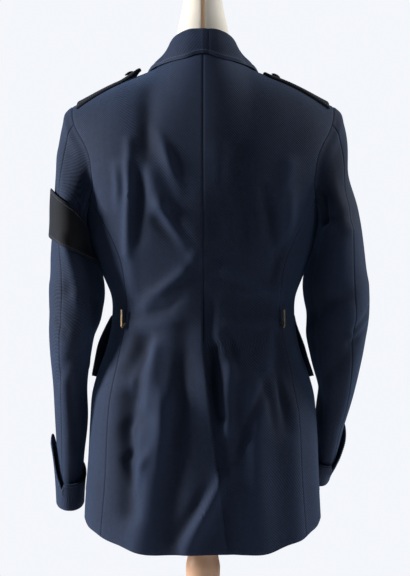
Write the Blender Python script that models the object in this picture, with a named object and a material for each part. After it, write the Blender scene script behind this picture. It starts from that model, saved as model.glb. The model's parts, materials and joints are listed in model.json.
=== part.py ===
"""Military uniform jacket on a limbless dress form and a turned stand.

Metres, +Z up. The jacket's front faces -Y and +X is the wearer's left. The origin is
at the centre of the base's underside.

The cloth is worked out from a few tables. A place on the body's cloth is an angle, 0 at
the centre back, a quarter turn at the side and a half turn at the centre front, and a
height. A place on a sleeve is a turn, 0 at its outer side, a quarter at its back and a
half at its inner side, and a distance down the arm.
"""
import math

import bmesh
import bpy
import numpy as np
from mathutils.bvhtree import BVHTree

# Driving dimensions
clothThickness = 0.0022
seamGap = 0.0003
hemHeight = 0.3240
hemRise = 0.034
hemRiseFrom = 22.0
hemRiseTo = 86.0
armholeBase = 0.835
armholeDip = 0.018
neckHalfWidth = 0.0735
neckSeamDrop = 0.028
shoulderTip = (0.195, 0.9745)
shoulderSlope = 0.469
shoulderRound = 0.030
shoulderFill = 0.0030
napeRise = 0.035
bodyPower = 2.2
ventTop = 0.630
ventReach = 0.0355
ventUnderlap = 0.016
ventSink = 0.0042
frontLap = 0.020
frontLapLift = 0.0017
lapelBreak = 0.800
formClearance = 0.0031
formShoulder = 0.975
baseRadius = 0.170

# The body's cloth, from the hem to above the shoulders
torso = {
    "columns": ("height", "halfWidth", "back", "front"),
    "rows": (
        (0.320, 0.1780, 0.1380, 0.1460),
        (0.390, 0.1760, 0.1340, 0.1420),
        (0.440, 0.1735, 0.1300, 0.1370),
        (0.510, 0.1690, 0.1260, 0.1310),
        (0.550, 0.1650, 0.1220, 0.1270),
        (0.570, 0.1600, 0.1190, 0.1240),
        (0.600, 0.1500, 0.1130, 0.1170),
        (0.630, 0.1415, 0.1070, 0.1100),
        (0.660, 0.1368, 0.1020, 0.1060),
        (0.690, 0.1372, 0.1010, 0.1070),
        (0.720, 0.1480, 0.1030, 0.1130),
        (0.755, 0.1625, 0.1070, 0.1210),
        (0.790, 0.1710, 0.1110, 0.1260),
        (0.817, 0.1740, 0.1140, 0.1270),
        (0.835, 0.1765, 0.1155, 0.1265),
        (0.871, 0.1860, 0.1170, 0.1220),
        (0.930, 0.2070, 0.1160, 0.1140),
        (0.975, 0.2200, 0.1130, 0.1070),
        (1.090, 0.2350, 0.1100, 0.1000),
    ),
}

# Where the side panels' seams run, in degrees from the centre back
sideSeams = {
    "columns": ("height", "back", "front"),
    "rows": (
        (0.320, 55.9, 99.0),
        (0.420, 53.4, 99.0),
        (0.510, 53.1, 99.0),
        (0.560, 52.5, 99.5),
        (0.620, 55.0, 100.0),
        (0.672, 53.4, 101.0),
        (0.700, 51.5, 102.0),
        (0.723, 48.8, 103.0),
        (0.747, 47.5, 104.0),
        (0.766, 49.2, 105.0),
        (0.794, 54.7, 107.0),
        (0.820, 63.7, 109.3),
        (0.835, 69.2, 110.8),
    ),
}

# How far from the centre line the armhole seam lies
armhole = {
    "columns": ("height", "reach"),
    "rows": (
        (0.8350, 0.1660),
        (0.8490, 0.1620),
        (0.8710, 0.1635),
        (0.8950, 0.1670),
        (0.9150, 0.1750),
        (0.9305, 0.1840),
        (0.9465, 0.1910),
        (0.9600, 0.1940),
        (0.9745, 0.1950),
    ),
}

# The largest folds, each along a line seen square from its side of the body. The reach
# is the fold's half width and the rise is how far it stands out, below 0 for a trough.
foldColumns = ("fromX", "fromZ", "toX", "toZ", "reach", "rise")
backFolds = (
    (0.0800, 0.985, 0.0760, 0.890, 0.013, -0.0040),
    (0.0860, 0.884, 0.0590, 0.821, 0.013, 0.0045),
    (0.0590, 0.821, 0.0115, 0.748, 0.012, 0.0040),
    (0.0647, 0.800, 0.0230, 0.758, 0.010, -0.0035),
    (0.1150, 0.880, 0.1030, 0.700, 0.011, 0.0030),
    (0.0805, 0.679, 0.0273, 0.726, 0.010, 0.0035),
    (0.0805, 0.625, 0.1100, 0.584, 0.012, -0.0045),
    (0.0905, 0.628, 0.1000, 0.542, 0.011, -0.0045),
    (0.1050, 0.542, 0.1050, 0.384, 0.016, -0.0080),
    (0.0704, 0.615, 0.0790, 0.536, 0.011, 0.0045),
    (0.0546, 0.542, 0.0905, 0.335, 0.019, 0.0070),
    (0.0260, 0.640, 0.0450, 0.335, 0.016, -0.0040),
    (-0.0237, 0.430, 0.0200, 0.332, 0.014, 0.0045),
    (-0.0150, 0.615, -0.0260, 0.520, 0.009, -0.0060),
    (-0.0390, 0.590, -0.0350, 0.500, 0.010, 0.0040),
    (-0.1090, 0.630, -0.1220, 0.500, 0.010, -0.0045),
    (-0.0700, 0.560, -0.0850, 0.335, 0.020, 0.0050),
    (-0.1300, 0.520, -0.1380, 0.340, 0.014, 0.0040),
    (-0.0350, 0.730, -0.1050, 0.690, 0.010, 0.0030),
    (-0.1250, 0.880, -0.1050, 0.760, 0.013, 0.0035),
    (-0.0500, 0.900, -0.0150, 0.790, 0.016, -0.0030),
)
frontFolds = (
    (0.0950, 0.800, 0.0700, 0.690, 0.014, -0.0035),
    (-0.0950, 0.790, -0.0650, 0.690, 0.013, -0.0035),
    (0.0300, 0.680, 0.0900, 0.665, 0.010, -0.0025),
    (-0.0300, 0.672, -0.0850, 0.660, 0.010, -0.0025),
    (0.0400, 0.560, 0.0450, 0.360, 0.018, 0.0040),
    (-0.0450, 0.540, -0.0500, 0.370, 0.017, 0.0040),
)

# The sleeves from the upper arm down. Forward is towards the wearer's front, and turn
# swings the sleeve's back edge inwards, in degrees.
armColumns = ("height", "out", "forward", "halfWidth", "halfDepth", "turn")
leftArm = {
    "columns": armColumns,
    "rows": (
        (0.378, 0.2040, 0.060, 0.0182, 0.056, 4.0),
        (0.450, 0.2020, 0.042, 0.0208, 0.056, 4.0),
        (0.508, 0.1990, 0.022, 0.0250, 0.057, 5.0),
        (0.560, 0.1998, 0.008, 0.0258, 0.060, 6.0),
        (0.610, 0.1985, -0.002, 0.0310, 0.063, 7.0),
        (0.640, 0.1960, -0.007, 0.0345, 0.065, 7.0),
        (0.670, 0.1900, -0.009, 0.0400, 0.066, 7.0),
        (0.715, 0.1895, -0.008, 0.0405, 0.068, 7.0),
        (0.750, 0.1985, -0.004, 0.0300, 0.070, 6.0),
        (0.790, 0.2015, 0.000, 0.0243, 0.072, 4.0),
    ),
}
rightArm = {
    "columns": armColumns,
    "rows": (
        (0.418, 0.1815, 0.128, 0.0165, 0.055, 2.0),
        (0.450, 0.1885, 0.105, 0.0185, 0.056, 3.0),
        (0.508, 0.1960, 0.067, 0.0230, 0.057, 4.0),
        (0.560, 0.2032, 0.034, 0.0285, 0.060, 5.0),
        (0.610, 0.2010, 0.008, 0.0405, 0.063, 6.0),
        (0.640, 0.2000, 0.000, 0.0460, 0.065, 7.0),
        (0.670, 0.2015, -0.005, 0.0475, 0.066, 7.0),
        (0.715, 0.1985, -0.007, 0.0490, 0.068, 7.0),
        (0.750, 0.2035, -0.004, 0.0395, 0.070, 6.0),
        (0.790, 0.2063, 0.000, 0.0320, 0.072, 4.0),
    ),
}
capRows = (0.0, 0.13, 0.29, 0.48, 0.72, 1.0)
capLeave = 0.43
capArrive = 1.07
shoulderRows = 8
skirtRows = 15
sideColumns = 7
frontColumns = 9
armRows = 11
lowerShare = 0.70
seamHalfGap = math.radians(0.075)
seamShare = 0.8
armholeShare = 0.36
hindSeam = 3
foreSeam = 13
sleeveRound = 0.30
armRoundness = 0.9

# Folds on the sleeves, on a line from one turn and height to another
sleeveFoldColumns = ("fromTurn", "fromZ", "toTurn", "toZ", "reach", "rise")
leftSleeveFolds = (
    (0.20, 0.700, 0.44, 0.672, 0.012, -0.0035),
    (0.60, 0.690, 0.80, 0.670, 0.012, -0.0030),
    (0.10, 0.560, 0.24, 0.600, 0.011, -0.0020),
    (0.08, 0.900, 0.20, 0.830, 0.014, 0.0020),
)
rightSleeveFolds = (
    (0.20, 0.690, 0.46, 0.655, 0.012, -0.0035),
    (0.60, 0.680, 0.82, 0.650, 0.012, -0.0030),
    (0.05, 0.810, 0.26, 0.790, 0.008, -0.0030),
    (0.14, 0.620, 0.30, 0.570, 0.012, -0.0025),
    (-0.12, 0.905, 0.14, 0.850, 0.036, -0.0100),
)

# The collar's clearances and the radius of its fold
standClearance = 0.0022
fallClearance = 0.0034
collarRound = 0.0022
collarSections = 23

# The collar's three edges, from the centre back (0) to its front end (1)
collar = {
    "columns": ("place", "standX", "standY", "foldX", "foldY", "foldZ", "edgeX", "edgeY"),
    "rows": (
        (0.00, 0.0000, 0.0535, 0.0000, 0.0475, 1.0840, 0.0000, 0.0635),
        (0.20, 0.0240, 0.0500, 0.0220, 0.0440, 1.0825, 0.0270, 0.0600),
        (0.40, 0.0470, 0.0405, 0.0410, 0.0330, 1.0740, 0.0495, 0.0430),
        (0.60, 0.0670, 0.0170, 0.0555, 0.0100, 1.0570, 0.0670, 0.0190),
        (0.75, 0.0725, -0.0040, 0.0625, -0.0120, 1.0450, 0.0785, -0.0030),
        (0.88, 0.0700, -0.0300, 0.0665, -0.0330, 1.0320, 0.0880, -0.0300),
        (1.00, 0.0585, -0.0680, 0.0590, -0.0700, 0.9990, 0.0960, -0.0630),
    ),
}

# The dress form inside the jacket and the turned wood under it
form = {
    "columns": ("height", "halfWidth", "back", "front"),
    "rows": (
        (0.455, 0.1230, 0.092, 0.096),
        (0.465, 0.1300, 0.098, 0.102),
        (0.510, 0.1380, 0.103, 0.107),
        (0.570, 0.1320, 0.098, 0.101),
        (0.620, 0.1180, 0.089, 0.091),
        (0.660, 0.1120, 0.085, 0.087),
        (0.700, 0.1160, 0.085, 0.091),
        (0.760, 0.1360, 0.089, 0.103),
        (0.800, 0.1470, 0.093, 0.107),
        (0.840, 0.1520, 0.095, 0.105),
        (0.880, 0.1550, 0.093, 0.100),
        (0.920, 0.1600, 0.086, 0.091),
        (0.950, 0.1660, 0.070, 0.072),
        (0.970, 0.1690, 0.056, 0.056),
        (0.985, 0.1700, 0.046, 0.046),
        (1.000, 0.1430, 0.041, 0.041),
        (1.015, 0.0985, 0.039, 0.039),
        (1.027, 0.0680, 0.038, 0.038),
        (1.035, 0.0570, 0.038, 0.038),
        (1.050, 0.0480, 0.037, 0.037),
        (1.070, 0.0420, 0.036, 0.036),
        (1.0975, 0.0360, 0.033, 0.033),
        (1.135, 0.0290, 0.0285, 0.0285),
        (1.165, 0.0280, 0.0275, 0.0275),
    ),
}
formSegments = 24
turnSegments = 24
buttonSegments = 12

# Turned profiles, outer side from top to bottom
stemProfile = (
    (0.034, 0.4546), (0.034, 0.4470), (0.0225, 0.4400), (0.0212, 0.4000),
    (0.0235, 0.3480), (0.0255, 0.3050), (0.0248, 0.2720), (0.0200, 0.2380),
    (0.0190, 0.2200), (0.0245, 0.2130), (0.0245, 0.2050), (0.0180, 0.1980),
    (0.0160, 0.1300), (0.0175, 0.0650), (0.0240, 0.0520), (0.0270, 0.0400),
    (0.0270, 0.0245),
)
baseProfile = (
    (0.0300, 0.0242), (0.1000, 0.0232), (0.1630, 0.0190), (0.1695, 0.0140),
    (baseRadius, 0.0080), (0.1685, 0.0020), (0.1650, 0.0000),
)
neckCapProfile = (
    (0.0100, 1.1830), (0.0200, 1.1800), (0.0270, 1.1740), (0.0290, 1.1690),
    (0.0285, 1.1654),
)
buttonProfile = (
    (0.34, 0.42), (0.72, 0.33), (1.00, 0.14), (1.00, 0.05), (0.90, 0.00),
)

# Fastenings
frontButtonHeights = (0.780, 0.702, 0.624, 0.546)
frontButtonRadius = 0.0110
smallButtonRadius = 0.0070
buttonReach = 0.03
buttonCrease = 40
hookFoot = 0.6455
hookWidth = 0.0028
hookThickness = 0.0014
hookTurn = 1.2
hookPath = {
    "columns": ("out", "rise"),
    "rows": (
        (0.0008, 0.0060),
        (0.0032, 0.0015),
        (0.0052, 0.0000),
        (0.0068, 0.0020),
        (0.0072, 0.0120),
        (0.0070, 0.0260),
    ),
}

# The turned-back cuff: its depth at the back, the extra height of its outer lobe, and
# the notch at the hind-arm seam, as turns and heights
cuffDepth = 0.054
cuffLobes = {"left": 0.042, "right": 0.012}
cuffLobeReach = 0.11
cuffNotchTurn = 0.175
cuffNotchReach = 0.016
cuffNotch = 0.020
cuffStandOff = 0.0013
cuffFlare = 0.0050
cuffDrop = 0.0006

# The arm band: heights of its edges at the arm's outer and inner side
bandOuter = (0.852, 0.779)
bandInner = (0.792, 0.735)
bandClearance = 0.0005
bandStandOff = 0.0032

# The lapel: distance from the roll line to its edge, from the break to its top, and how
# far its top edge falls from the neck
lapel = {
    "columns": ("rise", "width"),
    "rows": (
        (0.00, 0.004),
        (0.15, 0.022),
        (0.40, 0.045),
        (0.70, 0.064),
        (0.90, 0.074),
        (1.00, 0.078),
    ),
}
lapelTop = 0.985
lapelSlant = 0.030
lapelHidden = 0.15
lapelSetBack = 0.0012
lapelStandOff = (0.0010, 0.0026)

# Shoulder strap: from its sewn end at the sleeve to its buttoned end by the collar
strapOuter = 0.187
strapInner = 0.0895
strapHalfWidth = (0.0250, 0.0205)
strapThickness = 0.0030
strapClearance = 0.0008
strapCurl = 0.0004
strapLift = 0.0065
strapLiftFrom = 0.62
strapPoint = 0.55
strapButtonX = 0.107

# Hip pockets and their flaps, between angles from the centre back and heights
pocketBack = 100.0
pocketFrontX = 0.050
pocketTop = 0.600
pocketFoot = 0.392
pocketClearance = 0.0014
pocketProud = 0.0060
pocketCorner = 0.0030
flapTop = 0.662
flapFoot = 0.570
flapPoint = 0.010
flapOverhang = 0.03
flapClearance = 0.0016
flapProud = 0.0072
flapStand = {"left": 0.0080, "right": 0.0010}

# Colour, roughness and metallic value of each finish
finishes = {
    "navyTwill": ((0.028, 0.040, 0.085), 0.85, 0.0),
    "darkNavyTwill": ((0.020, 0.030, 0.062), 0.85, 0.0),
    "blackCloth": ((0.012, 0.012, 0.014), 0.90, 0.0),
    "brass": ((0.62, 0.48, 0.24), 0.35, 1.0),
    "creamCotton": ((0.78, 0.74, 0.66), 0.90, 0.0),
    "turnedWood": ((0.56, 0.33, 0.19), 0.45, 0.0),
}


def tableRow(columns, row):
    return dict(zip(columns, row))


def readTable(table, column, at):
    """A smooth curve through one column of a table whose first column rises."""
    place = table["columns"].index(column)
    keys = np.array([row[0] for row in table["rows"]])
    values = np.array([row[place] for row in table["rows"]])
    slopes = np.gradient(values, keys)
    at = np.clip(np.asarray(at, dtype=float), keys[0], keys[-1])
    low = np.clip(np.searchsorted(keys, at) - 1, 0, len(keys) - 2)
    span = keys[low + 1] - keys[low]
    t = (at - keys[low]) / span
    return (
        (2 * t**3 - 3 * t**2 + 1) * values[low]
        + (t**3 - 2 * t**2 + t) * span * slopes[low]
        + (3 * t**2 - 2 * t**3) * values[low + 1]
        + (t**3 - t**2) * span * slopes[low + 1]
    )


def ease(value, start, end):
    """0 before start, 1 after end, and a soft step between them."""
    t = np.clip((np.asarray(value, dtype=float) - start) / (end - start), 0.0, 1.0)
    return t * t * (3 - 2 * t)


def signedPower(value, power):
    return np.sign(value) * np.abs(value) ** power


def unit(vectors):
    return vectors / np.maximum(np.linalg.norm(vectors, axis=-1, keepdims=True), 1e-12)


def softRoot(x):
    return np.sqrt(np.asarray(x, dtype=float) ** 2 + shoulderRound**2)


def ridgeHeight(x):
    """Height of the shoulder line, and of the surface it would meet inside the neck."""
    x = np.abs(x)
    line = shoulderTip[1] + shoulderSlope * (softRoot(shoulderTip[0]) - softRoot(x))
    along = np.clip((x - neckHalfWidth) / (shoulderTip[0] - neckHalfWidth), 0, 1)
    line = line + shoulderFill * np.sin(math.pi * along) ** 2
    inside = np.clip(1 - (x / neckHalfWidth) ** 2, 0, 1)
    return line + napeRise * inside**2


def topHeight(x):
    """Height of the panels' top edge: the neck seam, then the shoulder seam."""
    inside = np.clip(1 - (np.abs(x) / neckHalfWidth) ** 2, 0, 1)
    return ridgeHeight(x) - neckSeamDrop * inside


def angleAt(x, height):
    """Angle, from 0 at the middle to a quarter turn at the side, of a distance out."""
    share = np.clip(np.abs(x) / readTable(torso, "halfWidth", height), 0, 1)
    return np.sign(x) * np.arcsin(share ** (bodyPower / 2))


def closing(x, height):
    """How much of the body's depth is left as the cloth closes over the shoulder."""
    share = (height - armholeBase) / (ridgeHeight(x) - armholeBase)
    return np.sqrt(1 - np.clip(share, 0, 1) ** 2)


def foldShift(x, z, folds):
    """How far the folds move the cloth out at a place seen from their side."""
    shift = np.zeros_like(x)
    for row in folds:
        fold = tableRow(foldColumns, row)
        alongX = fold["toX"] - fold["fromX"]
        alongZ = fold["toZ"] - fold["fromZ"]
        t = ((x - fold["fromX"]) * alongX + (z - fold["fromZ"]) * alongZ) / (alongX**2 + alongZ**2)
        t = np.clip(t, 0, 1)
        apart = np.hypot(x - fold["fromX"] - t * alongX, z - fold["fromZ"] - t * alongZ)
        shift += fold["rise"] * np.exp(-((apart / fold["reach"]) ** 2))
    return shift


def bodyPoint(angle, height, side, lift=0.0):
    """A point on the outer face of the body's cloth; side is 1 for the wearer's left."""
    sine, cosine = np.sin(angle), np.cos(angle)
    width = readTable(torso, "halfWidth", height)
    depth = np.where(
        cosine >= 0, readTable(torso, "back", height), readTable(torso, "front", height)
    )
    x = width * signedPower(sine, 2 / bodyPower)
    y = depth * signedPower(cosine, 2 / bodyPower) * closing(x, height)
    y += np.sign(cosine) * 0.5 * seamGap * ease(height, armholeBase, armholeBase + 0.05)
    outX, outY = x / width**2, y / depth**2
    length = np.maximum(np.hypot(outX, outY), 1e-9)
    seenX = x * side
    fold = foldShift(seenX, height, backFolds) * ease(cosine, 0.05, 0.45)
    fold += foldShift(seenX, height, frontFolds) * ease(-cosine, 0.05, 0.45)
    fold *= ease(ridgeHeight(x) - height, 0.0, 0.05)
    shift = fold + lift
    return np.stack(
        [side * (x + shift * outX / length), y + shift * outY / length, height + 0 * x], axis=-1
    )


def hemAt(angle):
    return hemHeight + hemRise * ease(np.degrees(np.abs(angle)), hemRiseFrom, hemRiseTo)


def verticalPlaces(v):
    """Share of the way up to the armhole, and the rise over the shoulder above it."""
    below = np.clip(v / lowerShare, 0, 1)
    above = np.sin(0.5 * math.pi * np.clip((v - lowerShare) / (1 - lowerShare), 0, 1))
    return below, above


def armholeAngle(height):
    return angleAt(readTable(armhole, "reach", height), height)


def ventEdge(height):
    """How far the wearer's left back reaches past the centre at the vent."""
    return ventReach * np.clip((ventTop - height) / (ventTop - hemHeight), 0, 1) ** 1.1


def backSurface(side):
    """The back panel: u from the centre back to the side, v from the hem to the top."""

    def surface(u, v):
        below, above = verticalPlaces(v)
        edgeAngle = np.radians(readTable(sideSeams, "back", hemHeight))
        hem = hemAt(u * edgeAngle)
        height = hem + (armholeBase - hem) * below
        edgeHeight = armholeBase + (shoulderTip[1] - armholeBase) * above
        past = ventEdge(height) if side > 0 else ventUnderlap * ease(ventTop - height, 0, 0.02)
        start = angleAt(-past, height) + seamHalfGap
        end = np.radians(readTable(sideSeams, "back", height)) - seamHalfGap
        lowAngle = start + u * (end - start)
        topReach = seamHalfGap + u * (armholeAngle(shoulderTip[1]) - 2 * seamHalfGap)
        topX = readTable(torso, "halfWidth", shoulderTip[1]) * np.sin(topReach) ** (2 / bodyPower)
        highHeight = armholeBase + (topHeight(topX) - armholeBase) * above
        reach = seamHalfGap + u * (armholeAngle(edgeHeight) - 2 * seamHalfGap)
        x = readTable(torso, "halfWidth", edgeHeight) * np.sin(reach) ** (2 / bodyPower)
        inUpper = v > lowerShare
        angle = np.where(inUpper, angleAt(x, highHeight), lowAngle)
        height = np.where(inUpper, highHeight, height)
        return bodyPoint(angle, height, side, ventLift(angle, height, side))

    return surface


def ventLift(angle, height, side):
    """The wearer's right back sinks a little where the left one laps over it."""
    if side > 0:
        return 0.0 * height
    x = readTable(torso, "halfWidth", height) * signedPower(np.sin(angle), 2 / bodyPower)
    apart = x - ventEdge(height)
    down = ease(-height, -(ventTop + 0.075), -(ventTop + 0.036))
    return -ventSink * down * (1 - ease(apart, 0.006, 0.024))


def sideSurface(side):
    """The side panel: u from the back seam to the front seam, v up to the armhole."""

    def surface(u, v):
        seamBack = np.radians(readTable(sideSeams, "back", hemHeight))
        seamFront = np.radians(readTable(sideSeams, "front", hemHeight))
        hem = hemAt(seamBack + u * (seamFront - seamBack))
        top = armholeBase - armholeDip * np.clip(4 * u * (1 - u), 0, 1) ** 0.7
        height = hem + (top - hem) * v
        start = np.radians(readTable(sideSeams, "back", height)) + seamHalfGap
        end = np.radians(readTable(sideSeams, "front", height)) - seamHalfGap
        return bodyPoint(start + u * (end - start), height, side)

    return surface


def frontEdge(height):
    """Distance from the centre front to the front's edge, then to the roll line."""
    top = ridgeHeight(neckHalfWidth)
    rise = np.clip((height - lapelBreak) / (top - lapelBreak), 0, 1)
    return -frontLap + (neckHalfWidth + frontLap) * rise


def frontLift(x, height, side):
    """The wearer's left front laps over the right one."""
    apart = 1 - ease(x, frontLap + 0.008, frontLap + 0.035)
    return side * frontLapLift * apart


def frontSurface(side):
    """The front panel: u from the side to the front edge, v from the hem to the top."""

    def surface(u, v):
        below, above = verticalPlaces(v)
        edgeAngle = np.radians(readTable(sideSeams, "front", hemHeight))
        hem = hemAt(edgeAngle)
        height = hem + (armholeBase - hem) * below
        edgeHeight = armholeBase + (shoulderTip[1] - armholeBase) * above
        start = np.radians(readTable(sideSeams, "front", height)) + seamHalfGap
        end = math.pi - angleAt(frontEdge(height), height)
        lowAngle = start + u * (end - start)
        tipWidth = readTable(torso, "halfWidth", shoulderTip[1])
        tipAngle = armholeAngle(shoulderTip[1]) - seamHalfGap
        neckAngle = angleAt(neckHalfWidth, shoulderTip[1])
        topX = tipWidth * np.sin(tipAngle + u * (neckAngle - tipAngle)) ** (2 / bodyPower)
        highHeight = armholeBase + (topHeight(topX) - armholeBase) * above
        rollHeight = armholeBase + (ridgeHeight(neckHalfWidth) - armholeBase) * above
        rollAngle = angleAt(frontEdge(rollHeight), edgeHeight)
        highEdge = armholeAngle(edgeHeight) - seamHalfGap
        reach = highEdge + u * (rollAngle - highEdge)
        x = readTable(torso, "halfWidth", edgeHeight) * signedPower(np.sin(reach), 2 / bodyPower)
        inUpper = v > lowerShare
        angle = np.where(inUpper, math.pi - angleAt(x, highHeight), lowAngle)
        height = np.where(inUpper, highHeight, height)
        x = readTable(torso, "halfWidth", height) * signedPower(np.sin(angle), 2 / bodyPower)
        return bodyPoint(angle, height, side, frontLift(x, height, side))

    return surface


def surfaceNormals(surface, u, v, side, step=0.0005):
    """Unit normals of a surface, pointing out of the garment."""
    uLow, uHigh = np.clip(u - step, 0, 1), np.clip(u + step, 0, 1)
    vLow, vHigh = np.clip(v - step, 0, 1), np.clip(v + step, 0, 1)
    across = surface(uHigh, v) - surface(uLow, v)
    up = surface(u, vHigh) - surface(u, vLow)
    return unit(side * np.cross(up, across))


def gridNormals(points, closed):
    """Unit normals of a grid of points, rows down the first axis."""
    down = np.gradient(points, axis=0)
    if closed:
        across = np.roll(points, -1, axis=1) - np.roll(points, 1, axis=1)
    else:
        across = np.gradient(points, axis=1)
    return unit(np.cross(down, across))


def addMaterial(thing, finish):
    colour, roughness, metallic = finishes[finish]
    material = bpy.data.materials.new(thing.name + "Finish")
    material.use_nodes = True
    shader = material.node_tree.nodes["Principled BSDF"]
    shader.inputs["Base Color"].default_value = (*colour, 1.0)
    shader.inputs["Roughness"].default_value = roughness
    shader.inputs["Metallic"].default_value = metallic
    material.diffuse_color = (*colour, 1.0)
    thing.data.materials.append(material)


def addObject(name, points, faces, finish, smoothAngle=50):
    """One named object from points and faces, with its faces pointing out."""
    mesh = bpy.data.meshes.new(name)
    mesh.from_pydata([tuple(point) for point in points], [], faces)
    work = bmesh.new()
    work.from_mesh(mesh)
    bmesh.ops.recalc_face_normals(work, faces=work.faces)
    if work.calc_volume(signed=True) < 0:
        bmesh.ops.reverse_faces(work, faces=work.faces)
    work.to_mesh(mesh)
    work.free()
    mesh.shade_smooth()
    mesh.set_sharp_from_angle(angle=math.radians(smoothAngle))
    thing = bpy.data.objects.new(name, mesh)
    bpy.context.collection.objects.link(thing)
    thing.parent = jacket
    addMaterial(thing, finish)
    return thing


def gridFaces(rows, columns, start, closed):
    """Four-cornered faces of a grid whose points are numbered row by row."""
    faces = []
    last = columns if closed else columns - 1
    for row in range(rows - 1):
        for column in range(last):
            after = (column + 1) % columns
            low, high = start + row * columns, start + (row + 1) * columns
            faces.append((low + column, low + after, high + after, high + column))
    return faces


def addWall(name, outer, inner, finish, closed=False):
    """A closed wall of cloth between two grids of points."""
    rows, columns = outer.shape[:2]
    count = rows * columns
    points = np.concatenate([outer.reshape(-1, 3), inner.reshape(-1, 3)])
    faces = gridFaces(rows, columns, 0, closed)
    faces += [tuple(reversed(face)) for face in gridFaces(rows, columns, count, closed)]
    last = columns if closed else columns - 1
    for row in (0, rows - 1):
        for column in range(last):
            a = row * columns + column
            b = row * columns + (column + 1) % columns
            corners = (a, a + count, b + count, b)
            faces.append(corners if row == 0 else tuple(reversed(corners)))
    if not closed:
        for column in (0, columns - 1):
            for row in range(rows - 1):
                a = row * columns + column
                b = a + columns
                corners = (a, a + count, b + count, b)
                faces.append(tuple(reversed(corners)) if column == 0 else corners)
    return addObject(name, points, faces, finish)


def addPanel(name, surface, columns, rows, side, finish):
    """A panel of cloth over a surface of u and v."""
    u, v = np.meshgrid(columns, rows)
    outer = surface(u, v)
    inner = outer - clothThickness * surfaceNormals(surface, u, v, side)
    return addWall(name, outer, inner, finish)


def addTurned(name, profile, finish, centre=(0.0, 0.0, 0.0), axis=None, segments=turnSegments):
    """A solid turned about an axis, from a profile of radius and height."""
    turns = np.arange(segments) * 2 * math.pi / segments
    up = unit(np.array(axis if axis is not None else (0.0, 0.0, 1.0), dtype=float))
    across = unit(np.cross(up, (0.0, 1.0, 0.0) if abs(up[1]) < 0.9 else (1.0, 0.0, 0.0)))
    other = np.cross(up, across)
    ring = np.cos(turns)[:, None] * across + np.sin(turns)[:, None] * other
    rows = [np.array(centre) + radius * ring + height * up for radius, height in profile]
    points = np.concatenate(rows)
    faces = gridFaces(len(profile), segments, 0, True)
    faces.append(tuple(range(segments)))
    faces.append(tuple(range(len(points) - 1, len(points) - 1 - segments, -1)))
    return addObject(name, points, faces, finish, buttonCrease)


def addRings(name, rings, finish):
    """A solid through rings of points, closed flat at both ends."""
    rows, columns = rings.shape[:2]
    faces = gridFaces(rows, columns, 0, True)
    faces.append(tuple(range(columns)))
    faces.append(tuple(range(rows * columns - 1, (rows - 1) * columns - 1, -1)))
    return addObject(name, rings.reshape(-1, 3), faces, finish)


def sideName(side):
    return "left" if side > 0 else "right"


def panelRows(low, high):
    """Rows of a panel that reaches the shoulder, closer together over its round."""
    return np.concatenate([
        np.linspace(0, lowerShare, low), np.linspace(lowerShare, 1, high)[1:]
    ])


def addBody():
    rows = panelRows(skirtRows, shoulderRows)
    tipWidth = readTable(torso, "halfWidth", shoulderTip[1])
    neckAngle = np.arcsin((neckHalfWidth / tipWidth) ** (bodyPower / 2))
    neckU = float(neckAngle / armholeAngle(shoulderTip[1]))
    backColumns = np.concatenate([np.linspace(0, neckU, 4), np.linspace(neckU, 1, 8)[1:]])
    for side in (1, -1):
        name = sideName(side)
        addPanel("back_" + name, backSurface(side), backColumns, rows, side, "navyTwill")
        addPanel(
            "side_" + name, sideSurface(side), np.linspace(0, 1, sideColumns),
            np.linspace(0, 1, skirtRows), side, "darkNavyTwill",
        )
        addPanel(
            "front_" + name, frontSurface(side), np.linspace(0, 1, frontColumns),
            rows, side, "navyTwill",
        )


def armPoint(arm, side, turn, height, lift=0.0):
    """A point on the sleeve below the shoulder, at a turn round it."""
    step = 0.004

    def centre(z):
        z = np.asarray(z, dtype=float)
        return np.stack([readTable(arm, "out", z), -readTable(arm, "forward", z), z], axis=-1)

    along = unit(centre(height + step) - centre(height - step))
    swing = np.radians(readTable(arm, "turn", height))
    out = np.stack([np.cos(swing), np.sin(swing), 0 * swing], axis=-1)
    out = unit(out - along * np.sum(out * along, axis=-1, keepdims=True))
    back = np.cross(along, out)
    angle = 2 * math.pi * turn
    halfWidth = (readTable(arm, "halfWidth", height) + lift)[..., None]
    halfDepth = (readTable(arm, "halfDepth", height) + lift)[..., None]
    point = (
        centre(height)
        + halfWidth * signedPower(np.cos(angle), armRoundness)[..., None] * out
        + halfDepth * signedPower(np.sin(angle), armRoundness)[..., None] * back
    )
    return point * np.array([side, 1.0, 1.0])


def sleeveTurns():
    """Turns of the sleeve's columns, each at a point of the panels' armhole edge."""
    share = armholeShare
    back = np.linspace(0, share, shoulderRows)
    under = np.linspace(share, 1 - share, sideColumns)
    front = np.linspace(1 - share, 1, shoulderRows)
    return np.concatenate([back[:-1], under[:-1], front[:-1]])


def armholeLoop(side, turns):
    """Points, normals and outward directions along the armhole seam."""
    share = armholeShare
    back, panel, front = backSurface(side), sideSurface(side), frontSurface(side)
    points, normals = [], []
    for turn in turns:
        if turn <= share:
            surface, u, v = back, 1.0, 1 - (1 - lowerShare) * turn / share
        elif turn < 1 - share:
            surface, u, v = panel, (turn - share) / (1 - 2 * share), 1.0
        else:
            surface, u, v = front, 0.0, lowerShare + (1 - lowerShare) * (turn - 1 + share) / share
        u, v = np.array([u]), np.array([v])
        points.append(surface(u, v)[0])
        normals.append(surfaceNormals(surface, u, v, side)[0])
    points, normals = np.array(points), np.array(normals)
    along = np.roll(points, -1, axis=0) - np.roll(points, 1, axis=0)
    outward = unit(side * np.cross(along, normals))
    return points, normals, outward


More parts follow.
